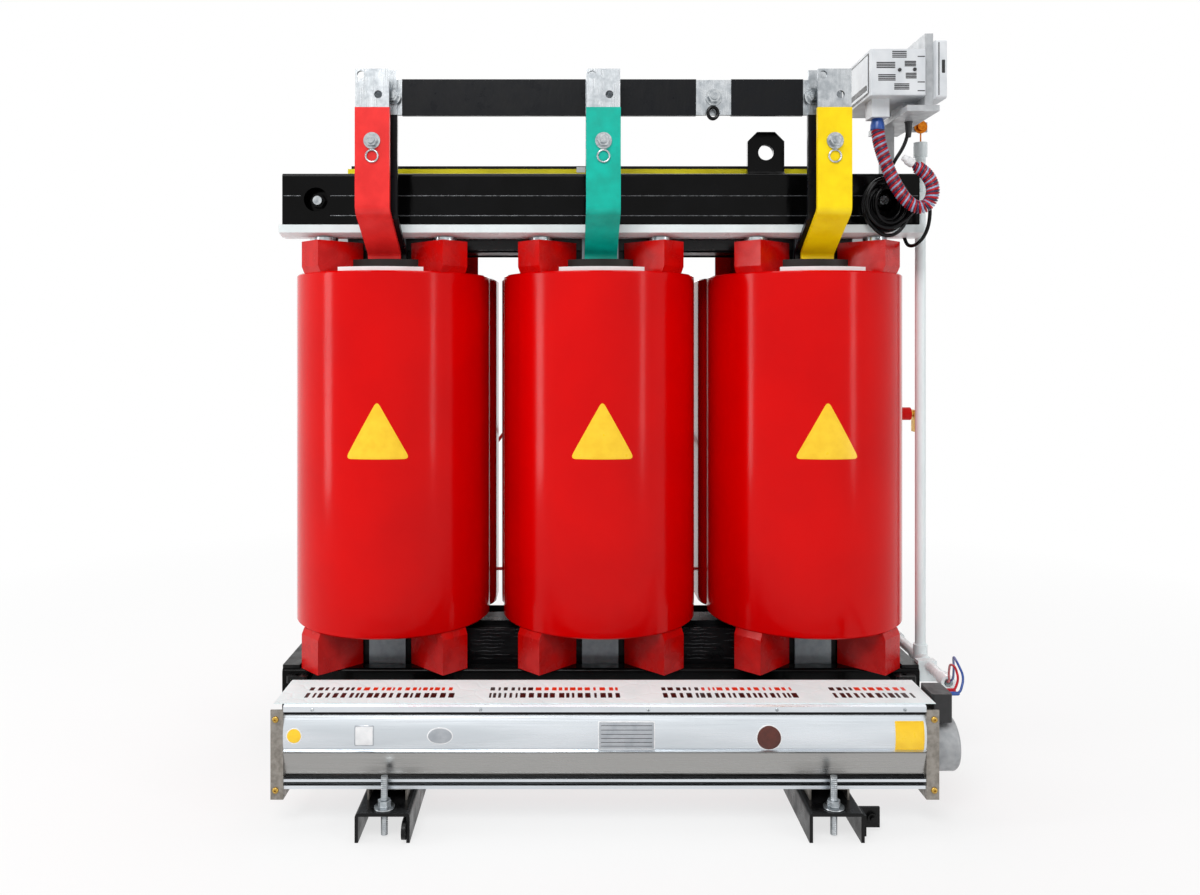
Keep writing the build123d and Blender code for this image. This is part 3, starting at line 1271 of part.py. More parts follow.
ROD_IN = LINK_EYE_R - 3     # how far from the stud's axis the rod starts
with BuildPart() as delta_links:
    for (_, x0), (_, x1) in zip(PHASES, PHASES[1:]):
        foot_x = terminal_places(x0)[1][0]
        head_x = terminal_places(x1)[0][0]
        delta_link(
            (
                (foot_x, LINK_Y, TERMINAL_LOW_Z + ROD_IN),
                (foot_x, LINK_Y, TERMINAL_LOW_Z + 74),
                (head_x, LINK_Y, TERMINAL_UP_Z - 74),
                (head_x, LINK_Y, TERMINAL_UP_Z - ROD_IN),
            ),
            40,
        )
    foot_x = terminal_places(PHASE_PITCH)[1][0]
    head_x = terminal_places(-PHASE_PITCH)[0][0]
    delta_link(
        (
            (foot_x, LINK_Y, TERMINAL_LOW_Z - ROD_IN),
            (foot_x, LINK_Y, TERMINAL_LOW_Z - 60),
            (head_x, LINK_Y, TERMINAL_LOW_Z - 60),
            (head_x, LINK_Y, TERMINAL_UP_Z - ROD_IN),
        ),
        25,
    )
    for _, x in PHASES:
        for place_x, place_z in terminal_places(x):
            with Locations(along_y(place_x, LINK_Y, place_z)):
                Cylinder(LINK_EYE_R, LINK_T)
                Cylinder(LINK_R, LINK_T, mode=Mode.SUBTRACT)
save(delta_links.part, "delta_links")
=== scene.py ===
"""Dressing of a three-phase cast-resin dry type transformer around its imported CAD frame.

X runs along the row of coils, Y from the low-voltage front to the back, Z up from the floor.
Every length is in metres, in the frame of the CAD model.
"""

import logging
import math
from dataclasses import dataclass, replace
from enum import Enum
from typing import Any, Callable, Sequence

import bmesh
import bpy
import numpy as np
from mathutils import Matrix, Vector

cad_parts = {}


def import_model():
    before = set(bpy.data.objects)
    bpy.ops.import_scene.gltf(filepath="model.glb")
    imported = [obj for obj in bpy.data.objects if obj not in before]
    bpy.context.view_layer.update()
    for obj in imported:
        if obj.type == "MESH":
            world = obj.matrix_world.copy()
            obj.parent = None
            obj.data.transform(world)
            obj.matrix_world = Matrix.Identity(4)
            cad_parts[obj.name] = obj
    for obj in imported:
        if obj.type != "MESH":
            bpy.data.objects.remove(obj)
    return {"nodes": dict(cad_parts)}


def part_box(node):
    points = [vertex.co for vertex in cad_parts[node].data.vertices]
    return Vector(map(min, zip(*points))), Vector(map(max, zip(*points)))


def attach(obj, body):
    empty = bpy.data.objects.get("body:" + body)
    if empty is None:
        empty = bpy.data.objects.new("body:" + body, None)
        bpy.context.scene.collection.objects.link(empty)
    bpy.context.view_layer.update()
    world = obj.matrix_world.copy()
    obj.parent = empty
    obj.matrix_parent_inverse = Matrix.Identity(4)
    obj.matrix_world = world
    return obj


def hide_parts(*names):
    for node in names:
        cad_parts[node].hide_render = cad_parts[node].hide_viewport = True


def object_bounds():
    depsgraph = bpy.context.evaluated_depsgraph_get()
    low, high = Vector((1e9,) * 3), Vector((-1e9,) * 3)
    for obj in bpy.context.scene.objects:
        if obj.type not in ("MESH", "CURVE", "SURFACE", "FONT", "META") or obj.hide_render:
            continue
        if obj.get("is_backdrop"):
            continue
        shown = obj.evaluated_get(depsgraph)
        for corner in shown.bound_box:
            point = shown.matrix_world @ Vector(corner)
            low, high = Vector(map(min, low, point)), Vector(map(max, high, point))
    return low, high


LOG = logging.getLogger("dry_type_transformer")
TRANSFORMER = "transformer"
COIL_PITCH = 0.387
COIL_X = (-COIL_PITCH, 0.0, COIL_PITCH)
COIL_FRONT_R = 0.180
CLAMP_FACE_Y = -0.11315
FAN_FRONT_Y = -0.402

Array = np.ndarray
Inputs = dict[str | int, Any]
Placing = Callable[[Array, Array, Array], Array]
Place = tuple[float, float, float]


# ---------------------------------------------------------------- colour and nodes
def linear(hex_colour: str) -> tuple[float, float, float, float]:
    """Turn an sRGB hex colour into the linear RGBA that shaders take.

    Args:
        hex_colour: six hex digits, with or without a leading #.

    Returns:
        Red, green, blue and an alpha of 1.
    """
    digits = hex_colour.lstrip("#")
    channels = [int(digits[i:i + 2], 16) / 255 for i in (0, 2, 4)]
    red, green, blue = (
        c / 12.92 if c <= 0.04045 else ((c + 0.055) / 1.055) ** 2.4 for c in channels
    )
    return (red, green, blue, 1.0)


def per_metre(millimetres: float) -> float:
    """Texture scale whose features are that many millimetres wide."""
    return 1000.0 / millimetres


def bands_scale(millimetres: float) -> float:
    """Scale of a band texture that repeats after that many millimetres."""
    return 100 * math.pi / millimetres


def add_node(
    tree: bpy.types.NodeTree,
    kind: str,
    settings: dict[str, Any] | None = None,
    inputs: Inputs | None = None,
) -> bpy.types.Node:
    """Add a shader node with its settings, values and links.

    Args:
        tree: the node tree to add to.
        kind: the node's bl_idname after ShaderNode.
        settings: attributes of the node.
        inputs: socket name or number to a value, or to the output socket to link.

    Returns:
        The new node.
    """
    node = tree.nodes.new("ShaderNode" + kind)
    for name, value in (settings or {}).items():
        setattr(node, name, value)
    for key, value in (inputs or {}).items():
        socket = node.inputs[key]
        if isinstance(value, bpy.types.NodeSocket):
            tree.links.new(value, socket)
        else:
            socket.default_value = value
    return node


# ---------------------------------------------------------------- finishes
@dataclass
class Skin:
    """A material on its way: its tree and coordinates, and what it has so far.

    Relief holds pairs of a height socket and its real depth in millimetres, in the
    order in which they lie on each other.
    """

    tree: bpy.types.NodeTree
    coords: Any
    base: Any
    rough: Any
    relief: list[tuple[Any, float]]

    def noise(self, size_mm: float, stretch: Sequence[float], detail: float) -> Any:
        """Noise with features of a real size.

        Args:
            size_mm: width of a feature.
            stretch: factor on each axis; below 1 draws the features out along it.
            detail: octaves of finer noise.

        Returns:
            The output socket, around 0.5.
        """
        placed = add_node(
            self.tree, "Mapping", None,
            {"Vector": self.coords, "Scale": tuple(stretch)},
        ).outputs["Vector"]
        return add_node(
            self.tree, "TexNoise", None,
            {"Vector": placed, "Scale": per_metre(size_mm), "Detail": detail},
        ).outputs["Fac"]


@dataclass(frozen=True)
class Finish:
    """A real surface: its colours, its gloss and the patterns that the eye reads.

    The colour drifts between two tones in soft clouds, roughness drifts with it, and a
    fine grain lifts the surface. Subclasses add the pattern of their own making.
    """

    name: str
    colour: str
    second: str
    roughness: float = 0.35
    spread: float = 0.08
    metallic: float = 0.0
    ior: float = 1.5
    specular: float = 0.5
    coat: float = 0.0
    coat_roughness: float = 0.1
    cloud_mm: float = 60.0
    cloud_stretch: Place = (1.0, 1.0, 1.0)
    grain_mm: float = 2.0
    grain_depth_mm: float = 0.05

    def build(self) -> bpy.types.Material:
        """Make the material once; ask again and the same one comes back."""
        known = bpy.data.materials.get(self.name)
        if known is not None:
            return known
        material = bpy.data.materials.new(self.name)
        material.use_nodes = True
        tree = material.node_tree
        tree.nodes.clear()
        skin = Skin(tree, add_node(tree, "TexCoord").outputs["Object"], None, None, [])
        cloud = skin.noise(self.cloud_mm, self.cloud_stretch, 4.0)
        tone = add_node(
            tree, "MapRange", None,
            {"Value": cloud, "From Min": 0.35, "From Max": 0.65},
        ).outputs["Result"]
        skin.base = add_node(
            tree, "Mix", {"data_type": "RGBA"},
            {"Factor": tone, "A": linear(self.colour), "B": linear(self.second)},
        ).outputs["Result"]
        skin.rough = add_node(
            tree, "MapRange", None,
            {"Value": cloud, "From Min": 0.3, "From Max": 0.7,
             "To Min": max(0.02, self.roughness - self.spread),
             "To Max": min(1.0, self.roughness + self.spread)},
        ).outputs["Result"]
        grain = skin.noise(self.grain_mm, (1.0, 1.0, 1.0), 3.0)
        skin.relief.append((grain, self.grain_depth_mm))
        self.pattern(skin)
        under: Inputs = {}
        for height, depth_mm in skin.relief:
            lifted = add_node(
                tree, "Bump", None,
                {"Height": height, "Distance": depth_mm / 1000, **under},
            )
            under = {"Normal": lifted.outputs["Normal"]}
        shader = add_node(
            tree, "BsdfPrincipled", None,
            {"Base Color": skin.base, "Roughness": skin.rough, **under,
             "Metallic": self.metallic, "IOR": self.ior, "Specular IOR Level": self.specular,
             "Coat Weight": self.coat, "Coat Roughness": self.coat_roughness},
        )
        add_node(tree, "OutputMaterial", None, {"Surface": shader.outputs["BSDF"]})
        material.diffuse_color = linear(self.colour)
        return material

    def pattern(self, skin: Skin) -> None:
        """The finish's own pattern; the plain one adds nothing."""


@dataclass(frozen=True)
class CastResin(Finish):
    """Filled epoxy cast in a steel mould: glossy, faintly wavy, with fine flow marks."""

    wave_mm: float = 95.0
    wave_depth_mm: float = 0.9

    def pattern(self, skin: Skin) -> None:
        """Add the mould's broad waviness over the grain, drawn out along the axis."""
        wave = skin.noise(self.wave_mm, (1.0, 1.0, 0.35), 1.0)
        skin.relief.append((wave, self.wave_depth_mm))


@dataclass(frozen=True)
class LaminatedCore(Finish):
    """Stacked electrical steel under black varnish: sheet edges show as fine lines."""

    sheet_mm: float = 4.0
    line_depth_mm: float = 0.5
    edge_colour: str = "#3A3C3E"

    def pattern(self, skin: Skin) -> None:
        """Bands across Y; real sheets are 0.3 mm, drawn coarser so that they show."""
        band = add_node(
            skin.tree, "TexWave",
            {"wave_type": "BANDS", "bands_direction": "Y", "wave_profile": "TRI"},
            {"Vector": skin.coords, "Scale": bands_scale(self.sheet_mm),
             "Distortion": 0.4, "Detail": 1.0},
        ).outputs["Fac"]
        edge = add_node(
            skin.tree, "MapRange", None,
            {"Value": band, "From Min": 0.7, "From Max": 1.0, "To Max": 0.6},
        ).outputs["Result"]
        skin.base = add_node(
            skin.tree, "Mix", {"data_type": "RGBA"},
            {"Factor": edge, "A": skin.base, "B": linear(self.edge_colour)},
        ).outputs["Result"]
        skin.relief.append((band, self.line_depth_mm))


@dataclass(frozen=True)
class GlassMatResin(Finish):
    """Resin over a glass mat, as on a wound low-voltage coil: a square weave shows."""

    thread_mm: float = 5.0
    thread_depth_mm: float = 0.3

    def pattern(self, skin: Skin) -> None:
        """Raise small cells for the mat's threads; 1 mm threads are drawn at 5 mm."""
        cells = add_node(
            skin.tree, "TexVoronoi", {"distance": "CHEBYCHEV"},
            {"Vector": skin.coords, "Scale": per_metre(self.thread_mm), "Randomness": 0.25},
        ).outputs["Distance"]
        skin.relief.append((cells, self.thread_depth_mm))


@dataclass(frozen=True)
class VarnishedBoard(GlassMatResin):
    """Glass-epoxy board dipped in black core varnish up to a level; bare above it."""

    dip_z: float = 1.0
    dip_colour: str = "#08080A"
    run_mm: float = 11.0
    run_depth_mm: float = 0.6

    def pattern(self, skin: Skin) -> None:
        """Black below the dip level, with level runs in the varnish."""
        super().pattern(skin)
        height = add_node(
            skin.tree, "SeparateXYZ", None, {"Vector": skin.coords}
        ).outputs["Z"]
        bare = add_node(
            skin.tree, "Math", {"operation": "GREATER_THAN"}, {0: height, 1: self.dip_z}
        ).outputs["Value"]
        skin.base = add_node(
            skin.tree, "Mix", {"data_type": "RGBA"},
            {"Factor": bare, "A": linear(self.dip_colour), "B": skin.base},
        ).outputs["Result"]
        skin.relief.append((skin.noise(self.run_mm, (0.12, 1.0, 1.6), 2.0), self.run_depth_mm))


@dataclass(frozen=True)
class DrawnMetal(Finish):
    """Rolled, drawn or extruded metal: fine lines run along the way it was pulled."""

    line_mm: float = 1.2
    line_stretch: Place = (0.01, 1.0, 1.0)
    line_depth_mm: float = 0.05
    streak: float = 0.10

    def pattern(self, skin: Skin) -> None:
        """Scratch lines in the relief and in the roughness."""
        lines = skin.noise(self.line_mm, self.line_stretch, 2.0)
        skin.relief.append((lines, self.line_depth_mm))
        spread = add_node(
            skin.tree, "MapRange", None,
            {"Value": lines, "From Min": 0.3, "From Max": 0.7,
             "To Min": -self.streak, "To Max": self.streak},
        ).outputs["Result"]
        skin.rough = add_node(
            skin.tree, "Math", {"operation": "ADD", "use_clamp": True},
            {0: skin.rough, 1: spread},
        ).outputs["Value"]


@dataclass(frozen=True)
class TwoPanelMetal(DrawnMetal):
    """Drawn aluminium whose lower extrusion is painted darker than the upper panel: painted shade
    for the dim floor reflection in the concave lower panel.
    """

    split_z: float = 0.1195
    split_blend: float = 0.0015
    foot_z: float = 0.0785
    lower_shade_colour: str = "#A5A4A2"

    def pattern(self, skin: Skin) -> None:
        """Painted shade: darker between the foot strips and the split; the foot strips keep the
        plain colour.
        """
        super().pattern(skin)
        height = add_node(
            skin.tree, "SeparateXYZ", None, {"Vector": skin.coords}
        ).outputs["Z"]
        upper = add_node(
            skin.tree, "MapRange", None,
            {"Value": height, "From Min": self.split_z - self.split_blend,
             "From Max": self.split_z + self.split_blend},
        ).outputs["Result"]
        foot = add_node(
            skin.tree, "Math", {"operation": "LESS_THAN"}, {0: height, 1: self.foot_z}
        ).outputs["Value"]
        # Painted shade mask: 1 keeps the plain aluminium, 0 takes the darker lower shade colour.
        bright = add_node(
            skin.tree, "Math", {"operation": "MAXIMUM"}, {0: upper, 1: foot}
        ).outputs["Value"]
        skin.base = add_node(
            skin.tree, "Mix", {"data_type": "RGBA"},
            {"Factor": bright, "A": linear(self.lower_shade_colour), "B": skin.base},
        ).outputs["Result"]


@dataclass(frozen=True)
class ThreadedZinc(Finish):
    """Zinc-plated fastener stock: bright, slightly grey, with thread turns along Z."""

    pitch_mm: float = 3.0
    thread_depth_mm: float = 0.5

    def pattern(self, skin: Skin) -> None:
        """Thread turns as level bands; a 1.5 mm pitch is drawn at 3 mm so that it shows."""
        turns = add_node(
            skin.tree, "TexWave", {"wave_type": "BANDS", "bands_direction": "Z"},
            {"Vector": skin.coords, "Scale": bands_scale(self.pitch_mm)},
        ).outputs["Fac"]
        skin.relief.append((turns, self.thread_depth_mm))


@dataclass(frozen=True)
class ShrinkSleeve(Finish):
    """Heat-shrink polyolefin on a bar: satin, with small puckers along the bar."""

    pucker_mm: float = 9.0
    pucker_depth_mm: float = 0.35

    def pattern(self, skin: Skin) -> None:
        """Long soft puckers that the shrinking leaves."""
        skin.relief.append((skin.noise(self.pucker_mm, (1.0, 1.0, 0.3), 2.0), self.pucker_depth_mm))


@dataclass(frozen=True)
class PlasticFilm(Finish):
    """Protective film laid on sheet metal: thin, white, with crease lines."""

    crease_mm: float = 34.0
    crease_depth_mm: float = 1.2

    def pattern(self, skin: Skin) -> None:
        """Creases are the borders of large cells."""
        cells = add_node(
            skin.tree, "TexVoronoi", {"feature": "DISTANCE_TO_EDGE"},
            {"Vector": skin.coords, "Scale": per_metre(self.crease_mm), "Randomness": 1.0},
        ).outputs["Distance"]
        crease = add_node(
            skin.tree, "MapRange", {"interpolation_type": "SMOOTHSTEP"},
            {"Value": cells, "From Max": 0.10},
        ).outputs["Result"]
        skin.relief.append((crease, self.crease_depth_mm))


# Epoxy casting resin, pigmented red and cast in a polished mould: deep red, glossy.
COIL_RESIN = CastResin(
    "epoxy_resin_cast_red", "#D80000", "#CE0002", 0.15, 0.03, specular=0.13, cloud_mm=160,
    grain_mm=3.0, grain_depth_mm=0.012, wave_depth_mm=0.4,
)
# The same resin in small open moulds: a little lighter, with duller faces.
BLOCK_RESIN = CastResin(
    "epoxy_resin_moulded_blocks", "#CE0603", "#BA0000", 0.26, 0.08, specular=0.26, cloud_mm=25,
    grain_depth_mm=0.08, wave_mm=30, wave_depth_mm=0.5,
)
# Grain-oriented steel sheets under black varnish: dark, with bright sheet edges.
CORE_STEEL = LaminatedCore(
    "core_steel_varnished", "#070708", "#101113", 0.32, 0.10, specular=0.2, cloud_mm=40,
    grain_mm=4.0, grain_depth_mm=0.1,
)
# Painted highlight: a grey metallic colour on the clamps' weld beads and on the lower yoke's
# sheet-edge ridges, standing in for bright lines of light on the black.
SEAM_HIGHLIGHT = Finish(
    "weld_seam_painted_highlight", "#6E7073", "#2A2B2D", 0.24, 0.10, metallic=0.6, cloud_mm=7,
    grain_depth_mm=0.1,
)
# Folded steel channel in black gloss enamel: near black, mirror-like, orange peel.
GLOSS_ENAMEL = CastResin(
    "steel_gloss_black_enamel", "#040404", "#080809", 0.14, 0.05, specular=0.10, cloud_mm=50,
    grain_mm=3.5, grain_depth_mm=0.06, wave_mm=22, wave_depth_mm=0.5,
)
# Rolled steel channel in thick black paint: a duller black with dust in its clouds.
BASE_ENAMEL = Finish(
    "steel_black_paint", "#070708", "#121213", 0.32, 0.12, specular=0.2, cloud_mm=28,
    grain_depth_mm=0.12,
)
# Steel channel in white powder coat: pale, satin, faint orange peel.
RAIL_COAT = Finish("steel_white_powder_coat", "#E8F0F1", "#DCE4E5", 0.30, 0.06, cloud_mm=40)
# Zinc-plated steel: cool grey metal with soft plating clouds.
ZINC = Finish(
    "steel_zinc_plated", "#CDD1D3", "#8E9499", 0.24, 0.12, metallic=1.0, cloud_mm=9, grain_mm=1.5,
    grain_depth_mm=0.04,
)
# Zinc-plated threaded rod: duller than a bolt head, ringed with fine bright turns.
STUD_ZINC = ThreadedZinc(
    "steel_zinc_threaded", "#BFC3C6", "#9FA5A9", 0.34, 0.08, metallic=1.0, cloud_mm=8, grain_mm=1.5,
    grain_depth_mm=0.04,
)
# Galvanised strip beside the core: duller, with larger clouds.
TIE_ZINC = Finish(
    "steel_galvanised_strip", "#9AA3A8", "#868E93", 0.42, 0.10, metallic=1.0, cloud_mm=14,
    grain_depth_mm=0.06,
)
# Pressed glass-epoxy board: yellow, slightly translucent look, fine mat.
BOARD = VarnishedBoard(
    "glass_epoxy_board_yellow", "#FFF22A", "#F0DF18", 0.30, 0.06, specular=0.25, cloud_mm=30,
    thread_mm=4.0, thread_depth_mm=0.1,
)
# Low-voltage coil: dark foil winding sealed with resin over a glass mat.
LV_RESIN = GlassMatResin(
    "foil_winding_sealed_resin", "#2A2523", "#1D1A18", 0.42, 0.08, specular=0.3, cloud_mm=40,
    grain_mm=2.5, grain_depth_mm=0.1,
)
# Pale polyester guard strip along the coil's rim: bright, clean, satin.
GUARD = Finish("polyester_guard_strip", "#EEF4F5", "#E2E9EA", 0.36, 0.06, cloud_mm=30)
# Tin-plated flat bar: bright grey, brushed along its length, with handling marks.
TIN = DrawnMetal(
    "bar_tin_plated", "#C3C7CA", "#989DA1", 0.34, 0.10, metallic=1.0, cloud_mm=12, grain_mm=1.5,
    grain_depth_mm=0.03, line_mm=0.9, line_stretch=(1.0, 1.0, 0.03), line_depth_mm=0.03,
)
# Heat-shrunk polyolefin sleeve on a bar: strong flat red, satin, with soft ripples.
RED_SLEEVE = ShrinkSleeve(
    "polyolefin_shrink_red", "#EA2F2D", "#DC2423", 0.33, 0.05, specular=0.3, cloud_mm=30,
)
# The same sleeve in blue green: even colour, satin, drawn tight over the bends.
GREEN_SLEEVE = replace(
    RED_SLEEVE, name="polyolefin_shrink_green", colour="#00B8A4", second="#00A491",
)
# The same sleeve in golden yellow: warm, satin, a little darker in its hollows.
YELLOW_SLEEVE = replace(
    RED_SLEEVE, name="polyolefin_shrink_yellow", colour="#FBDC0A", second="#F2CE00",
)
# The same sleeve in black: blue-black and duller, with handling marks.
BLACK_SLEEVE = ShrinkSleeve(
    "polyolefin_shrink_black", "#0D0F13", "#090A0D", 0.32, 0.08, specular=0.16, cloud_mm=25,
    grain_depth_mm=0.08,
)
# Extruded and rolled aluminium: silver, with long lines along the fan, and painted shade on the
# lower extrusion.
FAN_ALUMINIUM = TwoPanelMetal(
    "aluminium_extruded_painted_shade", "#E0E5EA", "#CDD3D8", 0.32, 0.06, metallic=1.0, cloud_mm=40,
    cloud_stretch=(0.15, 1.0, 1.0), grain_mm=1.5, grain_depth_mm=0.02, line_mm=1.4,
)
# Galvanised end sheet, folded: brownish grey with spangle.
FAN_END_STEEL = Finish(
    "steel_folded_end_sheet", "#9A958E", "#827D76", 0.42, 0.10, metallic=0.9, cloud_mm=7,
    grain_mm=1.5,
)
# Die-cast motor shell in grey stove enamel.
MOTOR_CAST = Finish(
    "aluminium_die_cast_grey", "#A9ABAD", "#94979A", 0.42, 0.08, metallic=0.35, cloud_mm=12,
    grain_mm=1.2, grain_depth_mm=0.12,
)
# Blown polyethylene film stuck on the fan: milk white, limp, with shallow creases.
FILM = PlasticFilm(
    "polyethylene_film_white", "#E9F7F8", "#DFEFF0", 0.55, 0.06, specular=0.2, cloud_mm=45,
    grain_mm=3.0, grain_depth_mm=0.06, crease_depth_mm=0.35,
)
# Moulded nylon: off-black, matt, with a fine mould texture. The same black also fills the
# controller's vent slits and bezel slot as painted shade.
BLACK_PLASTIC_AND_SLOT_SHADE = Finish(
    "nylon_moulded_black_and_slot_shade", "#141416", "#1E1E20", 0.45, 0.08, cloud_mm=12, grain_mm=0.8,
    grain_depth_mm=0.06,
)
# Extruded PVC pipe: white, smooth, satin gloss. Its faint cool tint is painted in to cancel the
# pink bounce light from the red coils.
PVC = Finish(
    "pvc_extruded_white", "#ECF4F5", "#DFE8EA", 0.28, 0.05, cloud_mm=35,
    cloud_stretch=(1.0, 1.0, 0.2), grain_mm=3.0, grain_depth_mm=0.03,
)
# Moulded ABS of the controller: pale grey with a fine spark-eroded texture.
ABS_GREY = Finish(
    "abs_moulded_pale_grey", "#D8DBDE", "#CBCFD3", 0.45, 0.05, cloud_mm=30, grain_mm=0.8,
    grain_depth_mm=0.06,
)
# Moulded polycarbonate pane over the display: smoked grey, glossy, faintly uneven.
SMOKED_PANE = Finish(
    "polycarbonate_pane_smoked", "#8F969C", "#7C838A", 0.12, 0.04, cloud_mm=35, grain_mm=3.0,
    grain_depth_mm=0.02,
)
# Folded steel sheet in thin grey-white coat: paler on its faces, satin. Its colour is painted
# darker grey, as painted shade for the shadow that the mount stands in.
MOUNT_COAT_PAINTED_SHADE = Finish(
    "steel_folded_white_coat_painted_shade", "#B9BCBE", "#A5A8AB", 0.38, 0.08, cloud_mm=14, grain_mm=1.5,
    grain_depth_mm=0.06,
)
# Extruded rubber sheath: deep black, smooth, with one clean line of light. The same black also
# fills the fan's panel grooves as painted shade.
CABLE_RUBBER_AND_GAP_SHADE = Finish(
    "rubber_cable_sheath_black_and_gap_shade", "#040405", "#08080A", 0.20, 0.05, specular=0.16, cloud_mm=14,
    grain_mm=4.0, grain_depth_mm=0.02,
)
# Extruded PVC wire: bright red, smooth, with a narrow highlight.
WIRE_RED = Finish(
    "pvc_wire_red", "#C41526", "#AE0E1E", 0.32, 0.05, specular=0.3, cloud_mm=8, grain_mm=1.0,
    grain_depth_mm=0.03,
)
# The same wire in a second batch of red: a shade deeper.
WIRE_RED_DARK = replace(WIRE_RED, name="pvc_wire_dark_red", colour="#A81428", second="#960E20")
# The same wire in mid blue: clear colour, soft gloss.
WIRE_BLUE = Finish(
    "pvc_wire_blue", "#1E4E9E", "#173F86", 0.32, 0.05, cloud_mm=8, grain_mm=1.0,
    grain_depth_mm=0.03,
)
# The same wire in navy: reads nearly black between the reds.
WIRE_NAVY = replace(
    WIRE_BLUE, name="pvc_wire_navy", colour="#2B2450", second="#221C42", roughness=0.34,
)
# The same wire in pale grey blue: the light line of the winding.
WIRE_PALE = Finish(
    "pvc_wire_pale_blue", "#9FADCB", "#8C9BBC", 0.34, 0.05, specular=0.3, cloud_mm=8, grain_mm=1.0,
    grain_depth_mm=0.03,
)
# Turned brass terminals: warm yellow metal with fine tool rings.
BRASS = DrawnMetal(
    "brass_turned", "#D9AE56", "#BE9240", 0.28, 0.08, metallic=1.0, cloud_mm=9, grain_mm=1.0,
    grain_depth_mm=0.03, line_mm=0.7, line_stretch=(1.0, 0.05, 1.0), line_depth_mm=0.03,
)
# Bare copper ring lug, heat-tinted: warm orange brown.
COPPER_LUG = Finish(
    "copper_crimped_lug", "#C8761E", "#A55A16", 0.34, 0.08, metallic=1.0, cloud_mm=5, grain_mm=1.0,
    grain_depth_mm=0.03,
)
# Copper rod in a red shrink sleeve, as on the delta links.
LINK_SLEEVE = ShrinkSleeve(
    "polyolefin_shrink_link_red", "#B4140E", "#9C100C", 0.36, 0.06, cloud_mm=25,
)
# Printed vinyl, yellow ink: flat warm colour under a thin clear layer.
VINYL_YELLOW = Finish(
    "vinyl_yellow", "#FFD21F", "#F7C60F", 0.32, 0.05, cloud_mm=18, grain_mm=1.0,
    grain_depth_mm=0.02, coat=0.2,
)
# Printed vinyl, black ink: warm near-black under a thin clear layer.
VINYL_DARK = Finish(
    "vinyl_dark", "#17120E", "#0F0B08", 0.36, 0.05, specular=0.3, cloud_mm=15, grain_mm=1.0,
    grain_depth_mm=0.02,
)
# Printed vinyl, orange red ink: strong and even.
VINYL_RED = Finish(
    "vinyl_red", "#E23A12", "#D42F0C", 0.34, 0.05, cloud_mm=15, grain_mm=1.0, grain_depth_mm=0.02,
)
# Printed vinyl, bare white stock: clean, slightly cool, satin.
VINYL_WHITE = replace(VINYL_RED, name="vinyl_white", colour="#F0F1F2", second="#E2E4E6")
# Printed vinyl, brown ink: dull dark disc with soft clouds.
VINYL_BROWN = Finish(
    "vinyl_brown", "#5A2418", "#4A1C12", 0.36, 0.05, cloud_mm=10, grain_mm=1.0, grain_depth_mm=0.02,
)
# Anodised aluminium plate: pale grey, brushed along its length, half gloss.
PLATE_GREY = DrawnMetal(
    "aluminium_anodised_plate", "#B4B8BD", "#A3A8AE", 0.38, 0.06, metallic=0.7, cloud_mm=14,
    grain_mm=1.0, grain_depth_mm=0.02, line_mm=0.6,
)
# Yellow-passivated screws: gold with brown clouds.
GILT_ZINC = Finish(
    "steel_yellow_passivated", "#C8A24A", "#A98A4C", 0.34, 0.08, metallic=1.0, cloud_mm=4,
    grain_mm=1.0, grain_depth_mm=0.03,
)

NODE_FINISH: dict[str, Finish] = {
    "hv_coil_left": COIL_RESIN, "hv_coil_middle": COIL_RESIN, "hv_coil_right": COIL_RESIN,
    "support_blocks_lower": BLOCK_RESIN, "support_blocks_upper": BLOCK_RESIN,
    "standoffs": BLOCK_RESIN,
    "core_yoke_bottom": CORE_STEEL, "core_yoke_top": CORE_STEEL,
    "core_leg_left": CORE_STEEL, "core_leg_middle": CORE_STEEL, "core_leg_right": CORE_STEEL,
    "lower_clamp_front": GLOSS_ENAMEL, "lower_clamp_rear": GLOSS_ENAMEL,
    "upper_clamp_front": GLOSS_ENAMEL, "upper_clamp_rear": GLOSS_ENAMEL,
    "lifting_lugs": GLOSS_ENAMEL,
    "base_rail_left": BASE_ENAMEL, "base_rail_right": BASE_ENAMEL,
    "base_lugs": BASE_ENAMEL, "end_plates": BASE_ENAMEL,
    "base_bolts": ZINC, "anchor_studs": STUD_ZINC, "clamp_studs": ZINC,
    "tie_plates": TIE_ZINC, "press_screws": ZINC, "bar_bolts": ZINC,
    "cable_rings": ZINC, "ring_lug": COPPER_LUG,
    "pressure_rail_front": RAIL_COAT, "pressure_rail_rear": RAIL_COAT,
    "yoke_boards": BOARD,
    "lv_coil_left": LV_RESIN, "lv_coil_middle": LV_RESIN, "lv_coil_right": LV_RESIN,
    "coil_guards": GUARD,
    "phase_bar_left": TIN, "phase_bar_middle": TIN, "phase_bar_right": TIN,
    "riser_bars": TIN, "neutral_bar": TIN,
    "phase_sleeve_left": RED_SLEEVE, "phase_sleeve_middle": GREEN_SLEEVE,
    "phase_sleeve_right": YELLOW_SLEEVE, "black_sleeves": BLACK_SLEEVE,
    "fan_housing": FAN_ALUMINIUM, "fan_wheel": FAN_ALUMINIUM, "fan_ends": FAN_END_STEEL,
    "fan_motor": MOTOR_CAST, "fan_film": FILM, "fan_terminal_box": BLACK_PLASTIC_AND_SLOT_SHADE,
    "conduit": PVC, "controller_body": ABS_GREY, "controller_bezel": ABS_GREY,
    "controller_mount": MOUNT_COAT_PAINTED_SHADE,
    "sensor_cord": WIRE_RED, "cable_runs": CABLE_RUBBER_AND_GAP_SHADE, "cable_hank": CABLE_RUBBER_AND_GAP_SHADE,
    "fan_leads": WIRE_RED, "hv_studs": BRASS, "delta_links": LINK_SLEEVE,
}


